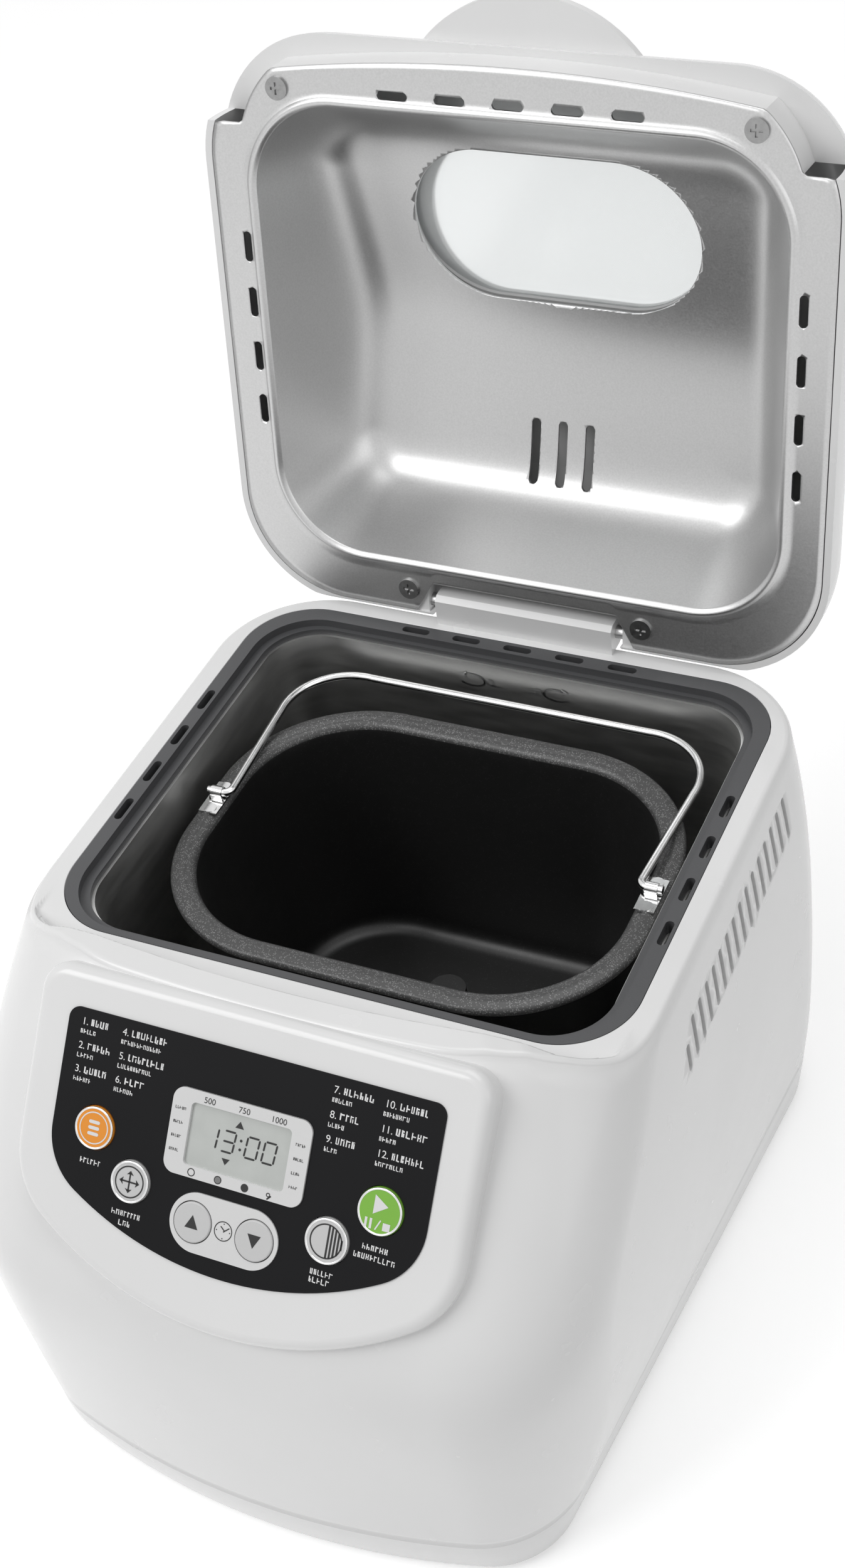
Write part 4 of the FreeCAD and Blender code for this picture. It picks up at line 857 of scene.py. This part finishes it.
# %% Vent slots
def slot_prism(centre, long, wide, depth, sides=24):
    """Outline of a slot as two half circles in the (a, b) plane, carried from -depth to depth."""
    t = np.linspace(0, 2 * np.pi, sides, endpoint=False)
    a = np.cos(t) * wide / 2
    b = np.sin(t) * wide / 2 + np.sign(np.sin(t + 1e-6)) * (long - wide) / 2
    ring = np.stack([a, b], -1)
    ends = [np.column_stack([ring, np.full(sides, d)]) for d in (-depth, depth)]
    return np.stack(ends) + np.asarray(centre)


def prism_faces(count, sides=24):
    """Faces of count prisms in a row of points: their sides, then both ends of each."""
    base = grid_faces(2, sides, False, True)
    end = np.arange(sides)
    faces = []
    for k in range(count):
        first = 2 * sides * k
        faces += (base + first).tolist()
        faces += [(end[::-1] + first).tolist(), (end + sides + first).tolist()]
    return faces


def cut_away(piece, points, faces):
    """Takes closed cutters out of a piece with one exact Boolean and keeps the result as its mesh."""
    mesh = bpy.data.meshes.new("cutter")
    mesh.from_pydata((np.asarray(points).reshape(-1, 3) * MM).tolist(), [], faces)
    cutter = bpy.data.objects.new("cutter", mesh)
    scene.collection.objects.link(cutter)
    weld(cutter)
    step = piece.modifiers.new("cut", "BOOLEAN")
    step.operation = "DIFFERENCE"
    step.solver = "EXACT"
    step.object = cutter
    bpy.context.view_layer.update()
    made = bpy.data.meshes.new_from_object(piece.evaluated_get(bpy.context.evaluated_depsgraph_get()))
    piece.modifiers.clear()
    old = piece.data
    piece.data = made
    bpy.data.meshes.remove(old)
    bpy.data.objects.remove(cutter)
    bpy.data.meshes.remove(mesh)


VENT_N, VENT_PITCH, VENT_H, VENT_W, VENT_DEPTH = 16, 6.9, 17.5, 2.6, 12.0
VENT_X, VENT_Y, VENT_TOP, VENT_RISE, VENT_SHORT = 115.0, -53.0, -18.6, 8.3, 6.0
row = np.arange(VENT_N)
vent_top = VENT_TOP + VENT_RISE * row / (VENT_N - 1) - VENT_SHORT * (row == 0)
vent_long = VENT_H - VENT_SHORT * (row == 0)
vent_at = [(VENT_Y + VENT_PITCH * k, vent_top[k] - vent_long[k] / 2, VENT_X) for k in row]
prisms = np.stack([slot_prism(vent_at[k], vent_long[k], VENT_W, VENT_DEPTH) for k in row])
prisms = np.stack([prisms[..., 2], prisms[..., 0] + SHIFT_Y, prisms[..., 1] + DECK_Z], -1)
cut_away(body, prisms, prism_faces(VENT_N))
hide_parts("body_shell")
print("body triangles", sum(len(p.vertices) - 2 for p in body.data.polygons))

# %% [markdown]
# The lid's lining is a pressed sheet: a flat flange with a rounded bead, then
# a deep dome whose roof slopes both ways from a ridge. As a surface it is a
# depth over the flange's plane. The dome's depth is the smaller of the wall's
# and the roof's, taken softly so that they meet in a generous curve.

# %% Lid lining
LID_LEVEL, HINGE_Y, HINGE_Z, LID_OPEN = 1.56, 102.15, 6.5, 98.55
MOUTH = (95.3, -84.1, 83.3, 32.0)
BEAD_W, BEAD_H, WALL_SLOPE = 3.6, 1.2, 3.06
SOFT_WALL, SOFT_RIDGE = 12.0, 4.0
DOME_N, BEAD_N, FLANGE_N, DOME_EASE, FLANGE_LEAST = 66, 13, 7, 1.7, 0.9
# depth, the u where it is that deep, slope
ROOF_FRONT, ROOF_REAR = (31.5, 62.7, 0.2596), (49.2, -5.5, 0.1635)


def open_lid(x, u, d):
    """Shut lid coordinates (u to the front, d up into the dome) turned open about the hinge."""
    y = -u - HINGE_Y
    z = LID_LEVEL + d - HINGE_Z
    a = -math.radians(LID_OPEN)
    return np.stack([x + 0 * y, HINGE_Y + y * math.cos(a) - z * math.sin(a) + SHIFT_Y,
                     HINGE_Z + y * math.sin(a) + z * math.cos(a) + DECK_Z], -1)


def soft_min(a, b, k):
    return -k * np.logaddexp(-a / k, -b / k)


def lid_depth(x, u):
    """Flat flange, half-sine bead, then the softly joined wall and roof of the dome."""
    sd = rounded_box(x, u, MOUTH)
    (front_d, front_u, front_k), (rear_d, rear_u, rear_k) = ROOF_FRONT, ROOF_REAR
    roof = soft_min(front_d + (front_u - u) * front_k, rear_d + (u - rear_u) * rear_k, SOFT_RIDGE)
    wall = WALL_SLOPE * np.maximum(-sd, 0.0)
    at_mouth = SOFT_WALL * np.log1p(np.exp(-roof / SOFT_WALL)) * np.exp(-wall / SOFT_WALL)
    inside = soft_min(wall, roof, SOFT_WALL) + at_mouth
    bead = -BEAD_H * np.sin(np.pi * np.clip(sd / BEAD_W, 0, 1))
    return np.where(sd < 0, inside, bead)


def arc_through(p, q, r, n=40):
    """Points of the circle through three points, from the first to the last."""
    (ax, ay), (bx, by), (cx, cy) = p, q, r
    k = 2 * (ax * (by - cy) + bx * (cy - ay) + cx * (ay - by))
    sa, sb, sc = ax * ax + ay * ay, bx * bx + by * by, cx * cx + cy * cy
    ox = (sa * (by - cy) + sb * (cy - ay) + sc * (ay - by)) / k
    oy = (sa * (cx - bx) + sb * (ax - cx) + sc * (bx - ax)) / k
    t = np.unwrap([math.atan2(y - oy, x - ox) for x, y in (p, q, r)])
    a = np.interp(np.linspace(0, 2, n), [0, 1, 2], t)
    reach = math.hypot(ax - ox, ay - oy)
    return np.column_stack([ox + reach * np.cos(a), oy + reach * np.sin(a)])


right_half = np.concatenate([
    arc_through((0, 100.7), (60, 97.7), (86, 94.5)), arc_through((86, 94.5), (93.5, 86), (98.6, 75.2)),
    np.linspace((98.8, 75.0), (107.0, 74.6), 12), arc_through((107, 74.4), (110.2, 45), (111.4, 10)),
    arc_through((111.4, 10), (111, -25), (109.3, -55)), arc_through((109.3, -55), (96, -86.5), (68, -101.8)),
    arc_through((68, -101.8), (36, -104.6), (0, -105.5))])
edge = np.concatenate([right_half, right_half[::-1] * np.array([-1.0, 1.0])])
edge_angle = np.arctan2(edge[:, 1], edge[:, 0])
order = np.argsort(edge_angle)
LID_N = 420
NOTCH_X, NOTCH_U = 38.0, -92.8
theta = np.linspace(-np.pi, np.pi, LID_N, endpoint=False)
flange_r = np.interp(theta, edge_angle[order], np.hypot(edge[:, 0], edge[:, 1])[order], period=2 * np.pi)
SHELL_ROOM, STEP_U = (111.4, -105.0, 100.1, 39.1), 74.9
shell_r = np.linalg.norm(ray_to_box(theta, SHELL_ROOM, (0.0, 0.0)), axis=1)
rise = np.maximum(np.sin(theta), 1e-3)
behind_step = flange_r * np.sin(theta) < STEP_U
flange_r = np.where(behind_step, np.maximum(flange_r, np.minimum(shell_r, STEP_U / rise)), flange_r)
notch_half = math.atan2(NOTCH_X, -NOTCH_U)
in_notch = np.abs(theta + np.pi / 2) < notch_half
flange_r = np.where(in_notch, NOTCH_U / np.sin(np.where(in_notch, theta, -np.pi / 2)), flange_r)


def mouth_radius(grow):
    spec = (MOUTH[0] + grow, MOUTH[1] - grow, MOUTH[2] + grow, MOUTH[3] + grow)
    return np.linalg.norm(ray_to_box(theta, spec, (0.0, 0.0)), axis=1)


inner = mouth_radius(0.0)
bead_rows = np.stack([mouth_radius(g) for g in np.linspace(0.0, BEAD_W, BEAD_N)])
flange_rows = bead_rows[-1] + np.linspace(0, 1, FLANGE_N)[1:, None] * (flange_r - bead_rows[-1])
dome_rows = inner * (1 - np.linspace(1, 0, DOME_N)[:-1, None] ** DOME_EASE)
radius = np.concatenate([dome_rows, bead_rows, np.maximum(flange_rows, bead_rows[-1] * FLANGE_LEAST)])
lx, lu = radius * np.cos(theta), radius * np.sin(theta)
ld = lid_depth(lx, lu)
SHEET = 1.0
front_face = open_lid(lx, lu, ld)
back_face = open_lid(lx, lu, ld + SHEET)
lid_grid = np.concatenate([front_face, back_face[::-1]])
lining = skin("lid_lining", lid_grid, satin_silver, "lid", wrap_n=True)
weld(lining)

# u of the middle, length, width
WINDOW, LID_VENT, LID_VENT_PITCH = (32.9, 107.0, 59.0), (-53.0, 24.0, 3.6), 10.65
# length and width, spacing, the side and front rows' places, a small shift of the front row
SLOT, SLOT_PITCH, SIDE_SLOT_X, FRONT_SLOT_U, FRONT_SHIFT = (11.0, 3.0), 20.6, 100.9, 88.6, 0.13
# from which depth to which each kind of cutter runs
WINDOW_D, LID_VENT_D, SLOT_D = (12.0, 80.0), (20.0, 70.0), (-5.0, 5.0)
LID_SIDES = 72


def lid_prism(x, u, long, wide, low, high, across=False):
    """A slot cutter in shut lid coordinates, turned open with the lid."""
    p = slot_prism((0, 0, 0), long, wide, 1.0, LID_SIDES)
    a, b = (p[..., 1], p[..., 0]) if across else (p[..., 0], p[..., 1])
    return open_lid(x + a, u + b, np.where(p[..., 2] < 0, low, high))


cutters = [lid_prism(0, *WINDOW, *WINDOW_D, True)]
cutters += [lid_prism(x, *LID_VENT, *LID_VENT_D) for x in (-LID_VENT_PITCH, 0.0, LID_VENT_PITCH)]
cutters += [lid_prism(side * SIDE_SLOT_X, k * SLOT_PITCH, *SLOT, *SLOT_D)
            for side in (-1, 1) for k in (-1.5, -0.5, 0.5, 1.5)]
cutters += [lid_prism(k * SLOT_PITCH + FRONT_SHIFT, FRONT_SLOT_U, *SLOT, *SLOT_D, True)
            for k in (-2, -1, 0, 1, 2)]
cut_away(lining, np.stack(cutters), prism_faces(len(cutters), LID_SIDES))
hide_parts("lid_liner")
print("lining triangles", sum(len(p.vertices) - 2 for p in lining.data.polygons))

# %% [markdown]
# The pan is deep-drawn from sheet and its edge is rolled over. Rows of the
# surface are rounded rectangles: out from the middle of the floor, up the
# tapering wall, over the crowned rim, and back down outside.

# %% Bread pan
PAN_N = 40
PAN_FLOOR, PAN_BASE, RIM_TOP = 58.5, 57.0, 161.2
FOOT_IN, MOUTH_IN = np.array([75.0, 52.5, 40.0]), np.array([79.0, 56.5, 43.0])
ROUND_IN, PAN_SHEET = 7.0, 1.5
WALL_TOP, OUTER_TOP, LIP, LIP_FROM = 157.4, 156.6, 3.0, 157.6
RIM_OUT, CROWN_AT, CROWN_HALF, CROWN_DROP = 7.2, 5.2, 2.2, 0.6
CURL_R, CURL_DROP, CURL_TURN = 1.9, 2.4, 0.95
TURN_N, FLOOR_N, WALL_ROWS, CROWN_N, BEND_N, OUTER_N = 10, 12, 24, 9, 14, 20


def pan_ring(half_x, half_y, r):
    """Rounded rectangle from corner arcs and sides; each argument may hold one value per row."""
    half_x, half_y, r = (np.atleast_1d(np.asarray(v, float))[:, None] for v in (half_x, half_y, r))
    q = np.linspace(0, np.pi / 2, PAN_N)
    parts = []
    for k, (sx, sy) in enumerate(((1, 1), (-1, 1), (-1, -1), (1, -1))):
        a = q + k * np.pi / 2
        parts.append(np.stack([sx * (half_x - r) + r * np.cos(a), sy * (half_y - r) + r * np.sin(a)], -1))
    return np.concatenate(parts, 1)


def pan_rows(spec, grow, z):
    spec = np.asarray(spec, float).reshape(-1, 3)
    grow = np.asarray(grow, float)
    r = np.maximum(spec[:, 2] + grow, 0.5)
    xy = pan_ring(spec[:, 0] + grow, spec[:, 1] + grow, r)
    return np.dstack([xy, np.broadcast_to(np.asarray(z, float)[:, None], xy.shape[:2])])


def side_spec(z):
    f = np.clip((np.asarray(z) - PAN_FLOOR) / (RIM_TOP - PAN_FLOOR), 0, 1)[:, None]
    return FOOT_IN + f * (MOUTH_IN - FOOT_IN)


def rim_spec(count):
    return side_spec(np.full(count, RIM_TOP))


turn = np.linspace(0, np.pi / 2, TURN_N)
floor_fill = np.linspace(0.001, 1, FLOOR_N)
flat_floor = FOOT_IN - ROUND_IN
rows = [pan_rows(flat_floor * floor_fill[:, None], np.zeros(FLOOR_N), np.full(FLOOR_N, PAN_FLOOR))]
z = PAN_FLOOR + ROUND_IN * (1 - np.cos(turn))
rows.append(pan_rows(side_spec(z), ROUND_IN * (np.sin(turn) - 1), z)[1:])
z = np.linspace(PAN_FLOOR + ROUND_IN, WALL_TOP, WALL_ROWS)
rows.append(pan_rows(side_spec(z), np.zeros(WALL_ROWS), z)[1:])
inner_count = sum(len(r) for r in rows)
rows.append(pan_rows(rim_spec(TURN_N), LIP * (1 - np.cos(turn)), LIP_FROM + LIP * np.sin(turn))[1:])
out = np.linspace(LIP, RIM_OUT, CROWN_N)
crown = RIM_TOP - CROWN_DROP * ((out - CROWN_AT) / CROWN_HALF) ** 2
rows.append(pan_rows(rim_spec(CROWN_N), out, crown)[1:])
bend = np.linspace(0, np.pi * CURL_TURN, BEND_N)
curl = RIM_TOP - CURL_DROP + CURL_R * np.cos(bend)
rows.append(pan_rows(rim_spec(BEND_N), RIM_OUT + CURL_R * np.sin(bend), curl)[1:])
rim_count = sum(len(r) for r in rows)
z = np.linspace(OUTER_TOP, PAN_BASE + ROUND_IN, OUTER_N)
rows.append(pan_rows(side_spec(z), np.full(OUTER_N, PAN_SHEET), z))
z = PAN_BASE + (ROUND_IN + PAN_SHEET) * (1 - np.cos(turn[::-1]))
rows.append(pan_rows(side_spec(z), PAN_SHEET + (ROUND_IN + PAN_SHEET) * (np.sin(turn[::-1]) - 1), z)[1:])
rows.append(pan_rows(flat_floor * floor_fill[::-1, None], np.zeros(FLOOR_N), np.full(FLOOR_N, PAN_BASE))[1:])
pan_grid = np.concatenate(rows) + np.array([0.0, SHIFT_Y, 0.0])
pan = skin("pan_pressing", pan_grid, pan_inside, "pan", wrap_n=True)
pan.data.materials.append(pan_rim)
columns = pan_grid.shape[1]
band = np.repeat(np.arange(len(pan_grid) - 1), columns)
on_rim = (band >= inner_count) & (band < rim_count)
pan.data.polygons.foreach_set("material_index", on_rim.astype(np.int32))
weld(pan)
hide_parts("bread_pan")
print("pan rows and columns", pan_grid.shape[:2])

# %% [markdown]
# Two turn-and-lock signs stand a little proud of the chamber's rear wall, and
# a small arrow on the deck's front ledge shows where the pan lines up.

# %% Pressed signs
REAR_WALL, SIGN_Z = 83.8 + SHIFT_Y, 168.0
LEDGE_Y, LEDGE_Z = -82.6 + SHIFT_Y, DECK_Z - 3.0
LOCK_U, KEY_OFF, LINE_T, PROUD, ARROW_T = 17.0, 10.0, 0.8, 0.35, 0.25
LOOP_WIDE, LOOP_HIGH, LOOP_V = 5.2, 2.6, 1.5


def on_rear_wall(u, v, t):
    u, v, t = np.broadcast_arrays(np.asarray(u, float), v, t)
    return np.stack([u, REAR_WALL - t, SIGN_Z - v], -1)


def on_ledge(u, v, t):
    u, v, t = np.broadcast_arrays(np.asarray(u, float), v, t)
    return np.stack([u, LEDGE_Y - v, LEDGE_Z + t], -1)


pressed = Inks(PROUD, on_rear_wall)
for side in (-1, 1):
    middle = LOCK_U * side
    a = np.radians(np.linspace(30, 300, 28))
    loop_u, loop_v = middle + LOOP_WIDE * side * np.cos(a), LOOP_V + LOOP_HIGH * np.sin(a)
    for k in range(len(a) - 1):
        du, dv = loop_u[k + 1] - loop_u[k], loop_v[k + 1] - loop_v[k]
        long = math.hypot(du, dv) + 0.5
        pressed.strip((loop_u[k] + loop_u[k + 1] - long) / 2, (loop_v[k] + loop_v[k + 1]) / 2, long, LINE_T,
                      math.degrees(math.atan2(dv, du)))
    tip_u, tip_v = loop_u[-1], loop_v[-1]
    pressed.polygon([(tip_u + 2.4 * side, tip_v + 0.2), (tip_u - 0.6 * side, tip_v - 1.5),
                     (tip_u - 0.2 * side, tip_v + 1.7)])
    key_u = middle - KEY_OFF * side
    pressed.strip(key_u - 2.0, 2.6, 4.0, LINE_T)
    pressed.ring(key_u + 2.6 * side, 1.4, 0.9, 1.6)
pressed.make("lock_signs", zinc_steel, "machine")
arrow_mark = Inks(ARROW_T, on_ledge)
arrow_mark.polygon([(5.0, -1.1), (6.3, 0.9), (3.7, 0.9)])
arrow_mark.make("deck_arrow", black_part, "machine")

# %% [markdown]
# The floor is a wide plain sheet. It is part of the stage, not of the object,
# and it glows a little for what the camera, glass and metal see.

# %% Floor
FLOOR_HALF, FLOOR_GLOW = 4, 0.42
floor_finish = Finish("pale_floor", Base_Color=grey(0.9), Roughness=0.7)
path = floor_finish.tree.nodes.new("ShaderNodeLightPath")
RAYS = ("Camera", "Glossy", "Transmission")
seen = sum(Val(floor_finish, path.outputs[f"Is {ray} Ray"]) for ray in RAYS)
glow = floor_finish.ramp(seen, [(0.0, grey(0.0)), (1.0, grey(1.0))])
floor_finish.set(Emission_Color=glow, Emission_Strength=FLOOR_GLOW)
floor_mesh = bpy.data.meshes.new("floor")
corners = [(x * FLOOR_HALF, y * FLOOR_HALF, 0) for x, y in ((-1, -1), (1, -1), (1, 1), (-1, 1))]
floor_mesh.from_pydata(corners, [], [(0, 1, 2, 3)])
floor_mesh.materials.append(floor_finish.mat)
floor = bpy.data.objects.new("floor", floor_mesh)
scene.collection.objects.link(floor)
